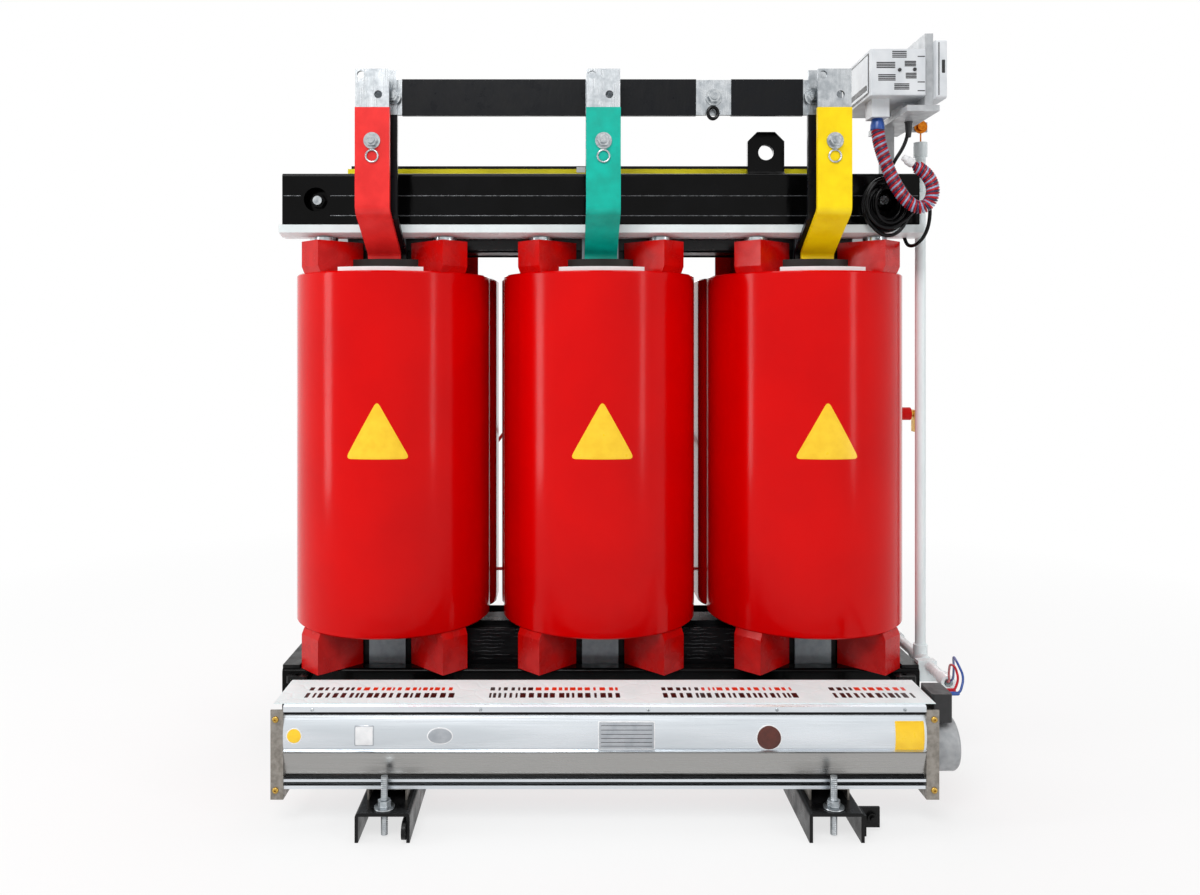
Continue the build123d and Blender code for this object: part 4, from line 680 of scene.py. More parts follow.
# ---------------------------------------------------------------- surfaces
def add_object(name: str, vertices: Array, faces: Sequence[Sequence[int]]) -> bpy.types.Object:
    """Link a mesh object at the origin, with its doubles merged and its faces outward."""
    mesh = bpy.data.meshes.new(name)
    mesh.from_pydata(np.asarray(vertices, float).reshape(-1, 3).tolist(), [], faces)
    work = bmesh.new()
    work.from_mesh(mesh)
    bmesh.ops.remove_doubles(work, verts=work.verts, dist=1e-6)
    bmesh.ops.recalc_face_normals(work, faces=work.faces)
    work.to_mesh(mesh)
    work.free()
    mesh.update()
    piece = bpy.data.objects.new(name, mesh)
    bpy.context.scene.collection.objects.link(piece)
    return piece


def grid_faces(rows: int, columns: int, close_columns: bool, start: int = 0) -> list[list[int]]:
    """Quads between the neighbours of a grid.

    Args:
        rows: points down the grid.
        columns: points across it.
        close_columns: whether the last column joins the first.
        start: number of the grid's first vertex.

    Returns:
        Four vertex numbers for each face.
    """
    across = columns if close_columns else columns - 1
    row, column = np.meshgrid(np.arange(rows - 1), np.arange(across), indexing="ij")
    after = (column + 1) % columns
    quads = np.stack(
        [row * columns + column, row * columns + after,
         (row + 1) * columns + after, (row + 1) * columns + column], axis=-1,
    )
    return (quads.reshape(-1, 4) + start).tolist()


def surface(name: str, layers: Sequence[Array], smooth: bool = True) -> bpy.types.Object:
    """One object from closed rings: each layer is an array of rings by points by 3."""
    vertices: list[Array] = []
    faces: list[list[int]] = []
    start = 0
    for points in layers:
        rows, columns = points.shape[:2]
        faces += grid_faces(rows, columns, True, start)
        vertices.append(points.reshape(-1, 3))
        start += rows * columns
    piece = add_object(name, np.concatenate(vertices), faces)
    if smooth:
        shade_by_angle(piece)
    return piece


def shade_by_angle(piece: bpy.types.Object, degrees: float = 35.0) -> None:
    """Smooth the faces and keep the edges sharper than an angle."""
    mesh = piece.data
    mesh.polygons.foreach_set("use_smooth", np.ones(len(mesh.polygons), bool))
    mesh.set_sharp_from_angle(angle=math.radians(degrees))


def face_middles(mesh: bpy.types.Mesh) -> Array:
    """The middle of each face, as faces by 3."""
    middles = np.empty(len(mesh.polygons) * 3)
    mesh.polygons.foreach_get("center", middles)
    return middles.reshape(-1, 3)


def unit(vectors: Array) -> Array:
    """Vectors along the last axis at length 1."""
    return vectors / np.linalg.norm(vectors, axis=-1, keepdims=True)


def tube(path: Array, radius: float | Array, guide: Array, sides: int = 10) -> Array:
    """Rings of a round tube along a path, closed to a point at both ends.

    A ring point is the path point plus radius times (cos a of the side vector plus
    sin a of the up vector), where side is the guide with its part along the path taken
    out and up is the cross product of path direction and side.

    Args:
        path: points of the centre line.
        radius: one radius, or one for each point.
        guide: a vector, or one for each point, that is never along the path.
        sides: points on a ring.

    Returns:
        Rings by sides by 3.
    """
    along = unit(np.gradient(path, axis=0))
    guide = np.broadcast_to(np.asarray(guide, float), path.shape)
    side = unit(guide - along * np.sum(guide * along, axis=1, keepdims=True))
    up = np.cross(along, side)
    turn = np.linspace(0, 2 * np.pi, sides, endpoint=False)
    radii = np.broadcast_to(np.asarray(radius, float), (len(path),))[:, None, None]
    rings = path[:, None] + radii * (
        np.cos(turn)[None, :, None] * side[:, None] + np.sin(turn)[None, :, None] * up[:, None]
    )
    first = np.repeat(path[:1, None], sides, axis=1)
    last = np.repeat(path[-1:, None], sides, axis=1)
    return np.concatenate([first, rings, last])


def lathe(profile: Sequence[tuple[float, float]], base: Sequence[float], axis: Sequence[float],
          sides: int = 32) -> Array:
    """Rings of a turned shape: radius times the circle, height along the axis.

    Args:
        profile: pairs of radius and height.
        base: where height is 0.
        axis: the turning axis.
        sides: points on a ring.

    Returns:
        Rings by sides by 3.
    """
    axis_v = unit(np.asarray(axis, float))
    helper = np.array([0.0, 0.0, 1.0]) if abs(axis_v[2]) < 0.9 else np.array([1.0, 0.0, 0.0])
    side = unit(np.cross(helper, axis_v))
    up = np.cross(axis_v, side)
    radius, height = np.array(profile).T
    turn = np.linspace(0, 2 * np.pi, sides, endpoint=False)
    circle = np.cos(turn)[:, None] * side + np.sin(turn)[:, None] * up
    return np.asarray(base) + radius[:, None, None] * circle + height[:, None, None] * axis_v


def rounded_outline(corners: Sequence[tuple[float, float]], radius: float, steps: int = 6,
                    run: int = 7) -> Array:
    """Closed outline with round corners: runs between corners, and arcs in them.

    A corner's arc is the curve from the point a radius before the corner to the point a
    radius after it, p = (1-t)^2 a + 2t(1-t) c + t^2 b.

    Args:
        corners: points in order.
        radius: how far from the corner the arc starts.
        steps: points on an arc.
        run: points on a straight run, so that it can bend with its carrier.

    Returns:
        Points by 2.
    """
    points = np.array(corners, float)
    before = points + unit(np.roll(points, 1, axis=0) - points) * radius
    after = points + unit(np.roll(points, -1, axis=0) - points) * radius
    t = np.linspace(0, 1, steps)[None, :, None]
    arcs = ((1 - t) ** 2 * before[:, None] + 2 * t * (1 - t) * points[:, None]
            + t ** 2 * after[:, None])
    s = np.linspace(0, 1, run + 2)[None, 1:-1, None]
    runs = after[:, None] * (1 - s) + np.roll(before, -1, axis=0)[:, None] * s
    return np.concatenate([arcs, runs], axis=1).reshape(-1, 2)


def box_outline(half_u: float, half_v: float, radius: float, steps: int = 3,
                run: int = 3) -> Array:
    """Rectangle of two half sides, with the round corners of rounded_outline."""
    corners = [(-half_u, -half_v), (half_u, -half_v), (half_u, half_v), (-half_u, half_v)]
    return rounded_outline(corners, radius, steps, run)


def oval_outline(half_u: float, half_v: float, points: int = 40) -> Array:
    """Ellipse: u = half_u cos a, v = half_v sin a."""
    turn = np.linspace(0, 2 * np.pi, points, endpoint=False)
    return np.stack([half_u * np.cos(turn), half_v * np.sin(turn)], axis=1)


def plate(outline: Array, thickness: float, place: Placing,
          edge: float = 0.0003, rings: int = 8) -> Array:
    """Rings of a thin plate: its face from the middle outward, a rounded edge, its side.

    Args:
        outline: points by 2, round the middle.
        thickness: height of the face over its carrier.
        place: turns arrays u, v and height into points in the frame.
        edge: how far the face's border is rounded.
        rings: rings on the face.

    Returns:
        Rings by points by 3.
    """
    middle = outline.mean(axis=0)
    reach = np.linalg.norm(outline - middle, axis=1, keepdims=True)
    inner = 1 - edge / reach
    shares = [np.full_like(inner, s) * inner for s in np.linspace(0, 1, rings)]
    shares += [np.ones_like(inner), np.ones_like(inner)]
    heights = [thickness] * rings + [max(thickness - edge, thickness * 0.5), 0.0]
    flat = np.stack([middle + (outline - middle) * share for share in shares])
    height = np.broadcast_to(np.array(heights)[:, None], flat.shape[:2])
    return place(flat[..., 0], flat[..., 1], height)


def on_coil(axis_x: float, middle_z: float, radius: float) -> Placing:
    """Place on a coil's round front: u runs round the coil, v up, height outward."""
    def place(u: Array, v: Array, height: Array) -> Array:
        """x = axis + r sin(u/R), y = -r cos(u/R), z = middle + v, r = R + height."""
        r = radius + height
        return np.stack(
            [axis_x + r * np.sin(u / radius), -r * np.cos(u / radius), middle_z + v], axis=-1
        )
    return place


def on_front(x: float, y: float, z: float) -> Placing:
    """Place on a flat front face: u along X, v up, height towards the front."""
    def place(u: Array, v: Array, height: Array) -> Array:
        """x + u, y - height, z + v."""
        return np.stack([x + u, y - height, z + v], axis=-1)
    return place


def on_top(x: float, y: float, z: float) -> Placing:
    """Place on a level face: u along X, v along Y, height up."""
    def place(u: Array, v: Array, height: Array) -> Array:
        """x + u, y + v, z + height."""
        return np.stack([x + u, y + v, z + height], axis=-1)
    return place


class Quality(Enum):
    """How a new piece's faces are shaded."""

    SMOOTH = "smooth"
    FLAT = "flat"


def make_piece(
    name: str, layers: Sequence[Array], finish: Finish,
    quality: Quality = Quality.SMOOTH, body: str = TRANSFORMER,
) -> bpy.types.Object:
    """Build a piece from rings, dress it and set it on its body.

    Args:
        name: the piece's name.
        layers: closed shells, each rings by points by 3.
        finish: its finish.
        quality: shading of its faces.
        body: the CAD body that it rides on.

    Returns:
        The finished piece.
    """
    piece = surface(name, layers, quality is Quality.SMOOTH)
    piece.data.materials.append(finish.build())
    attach(piece, body)
    LOG.info("%s: %d faces, %s", name, len(piece.data.polygons), finish.name)
    return piece


# ---------------------------------------------------------------- cords
def nurbs(name: str, points: Array, radius: float = 0.0) -> bpy.types.Object:
    """A smooth open spline with the route's points as its control points.

    Args:
        name: the curve's name.
        points: the route, in metres.
        radius: radius of its round section, or 0 for the bare line.

    Returns:
        The curve object.
    """
    curve = bpy.data.curves.new(name, "CURVE")
    curve.dimensions = "3D"
    spline = curve.splines.new("NURBS")
    spline.points.add(len(points) - 1)
    spline.points.foreach_set(
        "co", np.concatenate([points, np.ones((len(points), 1))], axis=1).ravel()
    )
    spline.order_u = 3
    spline.use_endpoint_u = True
    spline.resolution_u = 6
    curve.resolution_u = 6
    curve.bevel_depth = radius
    curve.bevel_resolution = 3
    curve.use_fill_caps = radius > 0
    piece = bpy.data.objects.new(name, curve)
    bpy.context.scene.collection.objects.link(piece)
    return piece


def spline_points(points: Array) -> Array:
    """Points along the NURBS line that a route makes, close together."""
    bare = nurbs("route_line", points)
    bpy.context.view_layer.update()
    mesh = bpy.data.meshes.new_from_object(bare)
    line = np.empty(len(mesh.vertices) * 3)
    mesh.vertices.foreach_get("co", line)
    bpy.data.meshes.remove(mesh)
    curve = bare.data
    bpy.data.objects.remove(bare)
    bpy.data.curves.remove(curve)
    return line.reshape(-1, 3)


def level_path(x: Array, y: float, z: float | Array) -> Array:
    """Points along X at one depth, and at one level or a level for each."""
    return np.stack([x, np.full_like(x, y), np.zeros_like(x) + z], axis=1)


def line_length(line: Array) -> float:
    """Sum of the steps between points."""
    return float(np.linalg.norm(np.diff(line, axis=0), axis=1).sum())


def even_steps(line: Array, count: int) -> Array:
    """The same line at equal steps of its own length."""
    steps = np.linalg.norm(np.diff(line, axis=0), axis=1)
    walked = np.concatenate([[0.0], np.cumsum(steps)])
    wanted = np.linspace(0, walked[-1], count)
    return np.stack([np.interp(wanted, walked, line[:, axis]) for axis in range(3)], axis=1)


@dataclass
class CurlySensorCord:
    """Four sensor leads wound side by side into one springy round cord."""

    outer_radius: float = 0.0115
    wire_radius: float = 0.00185
    pitch: float = 0.0148
    route: tuple[Place, ...] = (
        (0.470, -0.185, 1.108), (0.470, -0.185, 1.080), (0.481, -0.185, 1.041),
        (0.495, -0.185, 1.007), (0.512, -0.185, 0.976), (0.533, -0.185, 0.957),
        (0.551, -0.185, 0.957), (0.563, -0.185, 0.970), (0.566, -0.185, 0.990),
        (0.558, -0.185, 1.010), (0.542, -0.185, 1.024), (0.528, -0.185, 1.033),
    )

    def wires(self, line: Array) -> list[Array]:
        """Four helices round the line.

        A wire's point is the line's point plus the winding radius times (cos a of the
        side vector plus sin a of Y), where a grows by a turn for each pitch walked and
        the four wires stand a quarter of a turn apart. The radius grows from the leads'
        straight start over the first pitch.
        """
        length = line_length(line)
        turns = length / self.pitch
        walk = even_steps(line, int(turns * 16))
        share = np.linspace(0, 1, len(walk))
        along = unit(np.gradient(walk, axis=0))
        across = np.array([0.0, 1.0, 0.0])
        side = unit(np.cross(across, along))
        winding = self.outer_radius - self.wire_radius
        ease = np.clip(np.minimum(share, 1 - share) * turns, 0.35, 1.0)
        shells = []
        for number in range(4):
            angle = 2 * np.pi * (share * turns + number / 4)
            outward = np.cos(angle)[:, None] * side + np.sin(angle)[:, None] * across
            shells.append(
                tube(walk + (winding * ease)[:, None] * outward, self.wire_radius, outward, 8)
            )
        return shells

    def build(self) -> None:
        line = spline_points(np.array(self.route))
        shells = self.wires(line)
        cord = surface("sensor_cord_wound", shells)
        per_wire = len(cord.data.polygons) // 4
        for finish in (WIRE_RED, WIRE_NAVY, WIRE_RED_DARK, WIRE_PALE):
            cord.data.materials.append(finish.build())
        index = np.minimum(np.arange(len(cord.data.polygons)) // per_wire, 3)
        cord.data.polygons.foreach_set("material_index", index.astype(np.int32))
        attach(cord, TRANSFORMER)
        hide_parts("sensor_cord")
        end, way = line[-1], unit(line[-1] - line[-4])
        plug = make_piece(
            "sensor_cord_plug",
            [lathe(((0.0, 0.0), (0.0068, 0.0), (0.0076, 0.0015), (0.0076, 0.012),
                    (0.0056, 0.0145), (0.0056, 0.020), (0.0045, 0.0215), (0.0, 0.0215)),
                   end - way * 0.004, way, 24)],
            VINYL_WHITE,
        )
        boot = make_piece(
            "sensor_cord_boot",
            [lathe(((0.0, 0.0), (0.0085, 0.0), (0.0095, -0.002), (0.0118, -0.012),
                    (0.0121, -0.019), (0.0114, -0.020), (0.0, -0.020)),
                   (0.470, -0.185, 1.1085), (0.0, 0.0, 1.0), 28)],
            WIRE_BLUE,
        )
        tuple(self.route[0])
        LOG.info("sensor cord: %.3f m along its axis", line_length(line))


@dataclass
class ControllerCable:
    """Thin black cable from the controller's shelf, gathered in a loose hank."""

    radius: float = 0.0032
    centre: tuple[float, float] = (0.500, 0.967)
    turn_points: int = 14
    lead: tuple[Place, ...] = (
        (0.536, -0.150, 1.121), (0.536, -0.150, 1.092), (0.527, -0.150, 1.066),
        (0.512, -0.147, 1.043), (0.504, -0.141, 1.022),
    )
    half_widths: tuple[float, ...] = (0.037, 0.029, 0.046, 0.020, 0.034, 0.044, 0.024, 0.039)
    half_heights: tuple[float, ...] = (0.042, 0.034, 0.052, 0.023, 0.040, 0.049, 0.028, 0.046)
    depths: tuple[float, ...] = (
        -0.1370, -0.1395, -0.1440, -0.1465, -0.1495, -0.1525, -0.1550, -0.1578,
    )
    drift_x: tuple[float, ...] = (0.0, 0.003, -0.001, 0.001, -0.003, 0.001, 0.002, -0.002)
    drift_z: tuple[float, ...] = (0.0, -0.002, 0.004, -0.003, -0.002, 0.003, -0.004, 0.003)
    low_turn: int = 5
    low_drop: float = 0.0125
    tail: tuple[Place, ...] = (
        (0.5391, -0.1579, 0.9498), (0.5453, -0.1554, 0.9669), (0.5590, -0.1528, 0.9715),
        (0.5727, -0.1520, 0.9628), (0.5737, -0.1490, 0.9460), (0.5715, -0.1470, 0.9280),
        (0.5665, -0.1420, 0.9120), (0.5590, -0.1310, 0.9000), (0.5520, -0.1170, 0.8965),
        (0.5480, -0.1030, 0.9030), (0.5470, -0.0970, 0.9170),
    )

    def hank(self) -> Array:
        """Turns of the hank, each of its own size and depth.

        x = centre + drift + half width cos a, z = centre + drift + half height sin a
        minus a drop on one turn's foot, y = that turn's depth. Sizes glide from turn to
        turn, and a runs from just left of the top, down the left side.
        """
        turns = len(self.half_widths)
        count = turns * self.turn_points - 1
        step = np.arange(count) / self.turn_points
        knots = np.arange(turns)
        glide = np.clip(step - 0.5, 0, turns - 1)
        values = [
            np.interp(glide, knots, row)
            for row in (self.half_widths, self.half_heights, self.depths,
                        self.drift_x, self.drift_z)
        ]
        half_w, half_h, depth, shift_x, shift_z = values
        angle = math.radians(112) + 2 * np.pi * step * (1 - 0.30 / turns)
        foot = np.clip(-np.sin(angle), 0, 1) ** 2 * (np.floor(step) == self.low_turn)
        return np.stack(
            [self.centre[0] + shift_x + half_w * np.cos(angle), depth,
             self.centre[1] + shift_z + half_h * np.sin(angle) - self.low_drop * foot], axis=1,
        )

    def build(self) -> None:
        points = np.concatenate([np.array(self.lead), self.hank(), np.array(self.tail)])
        cable = nurbs("controller_cable", points, self.radius)
        cable.data.materials.append(CABLE_RUBBER_AND_GAP_SHADE.build())
        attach(cable, TRANSFORMER)
        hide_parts("cable_runs", "cable_hank")
        length = line_length(spline_points(points))
        gland = make_piece(
            "controller_cable_gland",
            [lathe(((0.0034, 0.004), (0.0075, 0.004), (0.0075, 0.0), (0.0062, -0.003),
                    (0.0058, -0.012), (0.0042, -0.026), (0.0034, -0.027), (0.0034, 0.004)),
                   (0.536, -0.150, 1.111), (0, 0, 1), 24)],
            BLACK_PLASTIC_AND_SLOT_SHADE,
        )
        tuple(self.lead[0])
        LOG.info("controller cable: %.3f m", length)


# ---------------------------------------------------------------- coils
@dataclass
class CoilDress:
    """Bare triangular plates on the coil fronts."""

    plate_z: float = 0.5755
    base: float = 0.113
    height: float = 0.101
    corner: float = 0.011
    film: float = 0.0004
    step: float = 0.0030

    def triangle(self, inset: float) -> Array:
        """Rounded triangle with its foot level, drawn in by an even margin."""
        half, low, high = self.base / 2, -self.height / 2, self.height / 2
        corners = np.array([(-half, low), (half, low), (0.0, high)])
        middle = np.array([0.0, low + self.height / 3])
        in_radius = self.base * self.height / (self.base + 2 * math.hypot(half, self.height))
        shrink = 1 - inset / in_radius
        corners = middle + (corners - middle) * shrink
        return rounded_outline([tuple(c) for c in corners], self.corner * shrink)

    def build(self) -> None:
        """One bare yellow plate on each coil, with a stepped edge and nothing on it."""
        for name, x in zip(("left", "middle", "right"), COIL_X):
            for level, (part, inset) in enumerate((("rim", 0.0), ("field", self.step))):
                place = on_coil(x, self.plate_z, COIL_FRONT_R + 0.0001 + level * self.film)
                make_piece(
                    f"coil_plate_{name}_{part}",
                    [plate(self.triangle(inset), self.film, place, 0.0002)],
                    VINYL_YELLOW,
                )


# ---------------------------------------------------------------- clamps
@dataclass
class ClampDress:
    """Seams on the yoke clamps in painted highlight, darkened nuts, sheet edges below in painted
    highlight, a blank tag above.
    """

    half_length: float = 0.566
    seam_z: float = 0.9875
    low_seam_z: float = 0.9520
    seam_radius: float = 0.0009
    stud_x: float = 0.509
    gap: float = 0.026
    board_y: float = -0.0764
    nut_hole_r: float = 0.0083
    upper_stud_z: float = 0.981
    lower_stud_z: float = 0.093
    tag_place: Place = (-0.035, -0.0765, 1.0405)
    seed: int = 11

    def darken_nuts(self, studs: bpy.types.Object) -> None:
        """The faces of the clamp nuts take the black gloss finish, so that they read dark round the
        stud ends, which keep their zinc.

        A face is a nut's when its middle is further from the stud's axis than the
        thread is thick.
        """
        mesh = studs.data
        middles = face_middles(mesh)
        level = np.where(middles[:, 2] > 0.5, self.upper_stud_z, self.lower_stud_z)
        away = np.hypot(np.abs(middles[:, 0]) - self.stud_x, middles[:, 2] - level)
        mesh.materials.append(GLOSS_ENAMEL.build())
        mesh.polygons.foreach_set("material_index", (away > self.nut_hole_r).astype(np.int32))
        mesh.update()

    def seam(self, x0: float, x1: float, z: float, y: float) -> Array:
        """Half-sunk bead along X whose height swells a little, as a weld run does."""
        x = np.linspace(x0, x1, max(12, int((x1 - x0) / 0.004)))
        swell = 1 + 0.12 * np.sin(x * 610) * np.sin(x * 173 + 1.0)
        return tube(level_path(x, y, z), self.seam_radius * swell, (0.0, 0.0, 1.0), 8)

    def sheet_edges(self) -> list[Array]:
        """Broken level ridges where the varnish stands on sheet edges, between the coils; their
        grey finish is painted highlight for the glints on the sheet edges.

        Each ridge is a thin tube along X; where it starts and ends is drawn from a
        seeded generator.
        """
        rng = np.random.default_rng(self.seed)
        ridges = []
        for middle in (-COIL_PITCH / 2, COIL_PITCH / 2):
            for z in np.arange(0.150, 0.204, 0.0065):
                for start in (-0.110, -0.035, 0.040):
                    x0 = middle + start + float(rng.uniform(-0.010, 0.012))
                    x1 = x0 + float(rng.uniform(0.030, 0.066))
                    x = np.linspace(x0, x1, 9)
                    level = z + 0.0006 * np.sin(x * 240 + z * 900)
                    path = level_path(x, self.board_y, level)
                    taper = 0.0008 * np.sin(np.linspace(0.25, np.pi - 0.25, 9))
                    ridges.append(tube(path, taper, (0.0, 0.0, 1.0), 6))
        return ridges

    def build(self) -> None:
        """Seams on the upper clamps' fronts, interrupted at the access holes; their grey is painted
        highlight.
        """
        left, right = -self.stud_x, self.stud_x
        runs = (
            (-self.half_length, left - self.gap), (left + self.gap, right - self.gap),
            (right + self.gap, self.half_length),
        )
        for name, sign in (("front", 1), ("rear", -1)):
            y = CLAMP_FACE_Y * sign
            layers = [self.seam(a, b, self.seam_z, y) for a, b in runs]
            layers.append(self.seam(left + self.gap, right - self.gap, self.low_seam_z, y))
            # Painted highlight: the seams' grey stands in for bright lines of light along the black
            # clamps.
            make_piece(f"upper_clamp_{name}_seam_highlights", layers, SEAM_HIGHLIGHT)
        # Painted highlight: the ridges stand on real sheet edges, and their grey stands in for the
        # glints on them.
        make_piece("lower_yoke_sheet_edge_highlights", self.sheet_edges(), SEAM_HIGHLIGHT)
        tag = box_outline(0.008, 0.005, 0.001, 4, 1)
        make_piece(
            "yoke_board_tag", [plate(tag, 0.0008, on_front(*self.tag_place), 0.0002, 3)],
            VINYL_WHITE, Quality.FLAT,
        )


# ---------------------------------------------------------------- fan
@dataclass
class FanDress:
    """Bare plates, plain bars, black strips of painted shade in the gaps between the panels, and
    small screws on the cross-flow fan.
    """

    left_x: float = -0.483
    right_x: float = 0.472
    film_z: float = 0.188
    seed: int = 7
    plates: tuple[tuple[str, float, float, float, float, str], ...] = (
        ("disc_yellow", -0.4665, 0.1422, 0.0119, 0.0119, "oval"),
        ("square_white", -0.3627, 0.1422, 0.0145, 0.0150, "box"),
        ("oval_white", -0.2500, 0.1422, 0.0193, 0.0126, "oval"),
        ("nameplate", 0.0266, 0.1421, 0.0423, 0.0208, "box"),
        ("disc_brown", 0.2379, 0.1392, 0.0193, 0.0193, "oval"),
        ("square_yellow", 0.4470, 0.1415, 0.0215, 0.0215, "box"),
    )
    rule_rows: tuple[float, ...] = (0.1571, 0.1511, 0.1451, 0.1391, 0.1331, 0.1271)

    def on_panel(self, x: float, z: float) -> Placing:
        """Place on the fan's bulged front panel."""
        def place(u: Array, v: Array, height: Array) -> Array:
            """y follows the panel's arc, a parabola through its three known depths."""
            level = z + v
            share = (level - 0.121) / (0.171 - 0.121)
            depth = 0.001 * (1 - share) + 0.006 * share - 4 * 0.005 * share * (1 - share)
            return np.stack([x + u, FAN_FRONT_Y + depth - height, level], axis=-1)
        return place

    def build_plates(self) -> None:
        """Each plate with a thin border and, on the nameplate, plain rules."""
        looks = {
            "disc_yellow": (VINYL_YELLOW, VINYL_WHITE), "square_white": (VINYL_WHITE, PLATE_GREY),
            "oval_white": (PLATE_GREY, VINYL_WHITE), "nameplate": (PLATE_GREY, VINYL_WHITE),
            "disc_brown": (VINYL_BROWN, VINYL_WHITE), "square_yellow": (VINYL_YELLOW, VINYL_YELLOW),
        }
        for name, x, z, half_u, half_v, kind in self.plates:
            def outline(inset: float) -> Array:
                """The plate's outline, drawn in by an inset."""
                a, b = half_u - inset, half_v - inset
                if kind == "oval":
                    return oval_outline(a, b)
                return box_outline(a, b, 0.0015, 4, 9)
            field_finish, rim_finish = looks[name]
            place = self.on_panel(x, z)
            make_piece(f"fan_{name}_rim", [plate(outline(0.0), 0.0005, place)],
                       rim_finish)
            make_piece(f"fan_{name}_face", [plate(outline(0.0016), 0.0008, place)],
                       field_finish)
        rule = box_outline(0.038, 0.0003, 0.0002, 2, 6)
        rules = [plate(rule, 0.0010, self.on_panel(0.0266, z), 0.0001, 2) for z in self.rule_rows]
        make_piece("fan_nameplate_rules", rules, VINYL_DARK, Quality.FLAT)

    def build_bars(self) -> None:
        """Four groups of plain short bars on the film: a far row and a near row."""
        rng = np.random.default_rng(self.seed)
        groups = ((-0.460, -0.240), (-0.180, 0.015), (0.085, 0.285), (0.345, 0.465))
        rows = (("far", -0.3370, 0.0065), ("near", -0.3640, 0.0095))
        for row, y, half in rows:
            shells: dict[bool, list[Array]] = {True: [], False: []}
            for start, stop in groups:
                x = start
                while x < stop:
                    width = float(rng.uniform(0.003, 0.009))
                    red = row == "far" and x > start + 0.3 * (stop - start)
                    block = rounded_outline(
                        [(0.0, -half), (width, -half), (width, half), (0.0, half)], 0.001, 3, 1
                    )
                    shells[red].append(plate(block, 0.0003, on_top(x, y, self.film_z), 0.0001, 2))
                    x += width + float(rng.uniform(0.0025, 0.0065))
            for red, layers in shells.items():
                if layers:
                    finish = VINYL_RED if red else VINYL_DARK
                    make_piece(f"film_bars_{row}_{'red' if red else 'dark'}", layers,
                               finish, Quality.FLAT)

    def build_gap_shade(self) -> None:
        """Painted shade in the grooves between the panels: black long rounds along X."""
        x = np.linspace(self.left_x + 0.001, self.right_x - 0.001, 24)
        strips = []
        for y, z, radius in ((-0.3972, 0.1736, 0.0023), (-0.3968, 0.0795, 0.0016),
                             (-0.3958, 0.0700, 0.0018)):
            strips.append(tube(level_path(x, y, z), radius, (0.0, 0.0, 1.0), 8))
        # Painted shade: these black rounds stand in for the dark inside the gaps between the
        # panels.
        make_piece("fan_gap_shade_strips", strips, CABLE_RUBBER_AND_GAP_SHADE)

    def screw(self, x: float, y: float, z: float, way: int, radius: float) -> Array:
        """Domed screw head: r and height follow a quarter ellipse, with a shallow socket."""
        a = np.linspace(0, np.pi / 2, 6)
        dome = [(radius * math.cos(t), 0.0008 + radius * 0.45 * math.sin(t)) for t in a[:-1]]
        profile = [(0.0, 0.0), (radius, 0.0), *dome, (radius * 0.34, radius * 0.45 + 0.0008),
                   (radius * 0.30, radius * 0.2), (0.0, radius * 0.2)]
        return lathe(profile, (x, y, z), (0.0, way, 0.0), 16)

    def build(self) -> None:
        """Plates, bars, painted shade strips in the gaps, and screws."""
        self.build_plates()
        self.build_bars()
        self.build_gap_shade()
        ends = []
        for x in (self.left_x - 0.0115, self.right_x + 0.0115):
            for z in (0.061, 0.166):
                ends.append(self.screw(x, FAN_FRONT_Y, z, -1, 0.0048))
                ends.append(self.screw(x, -0.290, z, 1, 0.0048))
        make_piece("fan_end_screws", ends, GILT_ZINC)
        panel = [
            self.screw(x, FAN_FRONT_Y + 0.0002, 0.1805, -1, 0.0026)
            for x in (-0.44, -0.19, 0.059, 0.25, 0.44)
        ]
        make_piece("fan_panel_screws", panel, ZINC)


# ---------------------------------------------------------------- leads
@dataclass
class LeadDress:
    """Colours of the two fan leads and the crimp sleeves at their ends."""

    box_x: float = 0.522
    box_z: float = 0.190
    red_route: tuple[Place, ...] = (
        (0.522, -0.348, 0.190), (0.536, -0.348, 0.190), (0.546, -0.338, 0.204),
        (0.549, -0.318, 0.216), (0.556, -0.280, 0.208), (0.570, -0.240, 0.180),
        (0.582, -0.212, 0.155), (0.588, -0.190, 0.147),
    )
    blue_route: tuple[Place, ...] = (
        (0.522, -0.362, 0.190), (0.538, -0.362, 0.190), (0.548, -0.354, 0.212),
        (0.546, -0.332, 0.228), (0.558, -0.288, 0.224), (0.576, -0.246, 0.192),
        (0.588, -0.214, 0.160), (0.592, -0.190, 0.148),
    )

    def colour_wires(self, node: bpy.types.Object) -> None:
        """Give the second wire its own finish: it is the one that lies further out.

        A face belongs to the wire whose route passes nearest to the face's middle.
        """
        mesh = node.data
        middles = face_middles(mesh)
        distance = [
            np.linalg.norm(
                middles[:, None] - even_steps(np.array(route), 120)[None], axis=2
            ).min(axis=1)
            for route in (self.red_route, self.blue_route)
        ]
        mesh.materials.append(WIRE_BLUE.build())
        index = (distance[1] < distance[0]).astype(np.int32)
        mesh.polygons.foreach_set("material_index", index)
        mesh.update()

    def build(self, node: bpy.types.Object) -> None:
        """Colour the wires and add their crimp sleeves."""
        self.colour_wires(node)
        profile = ((0.0, 0.0), (0.0022, 0.0), (0.0030, 0.001), (0.0030, 0.013),
                   (0.0022, 0.015), (0.0, 0.015))
        for name, y, finish in (("red", -0.348, WIRE_RED), ("blue", -0.362, WIRE_BLUE)):
            make_piece(
                f"fan_lead_crimp_{name}",
                [lathe(profile, (self.box_x, y, self.box_z), (1.0, 0.0, 0.0), 20)],
                finish,
            )


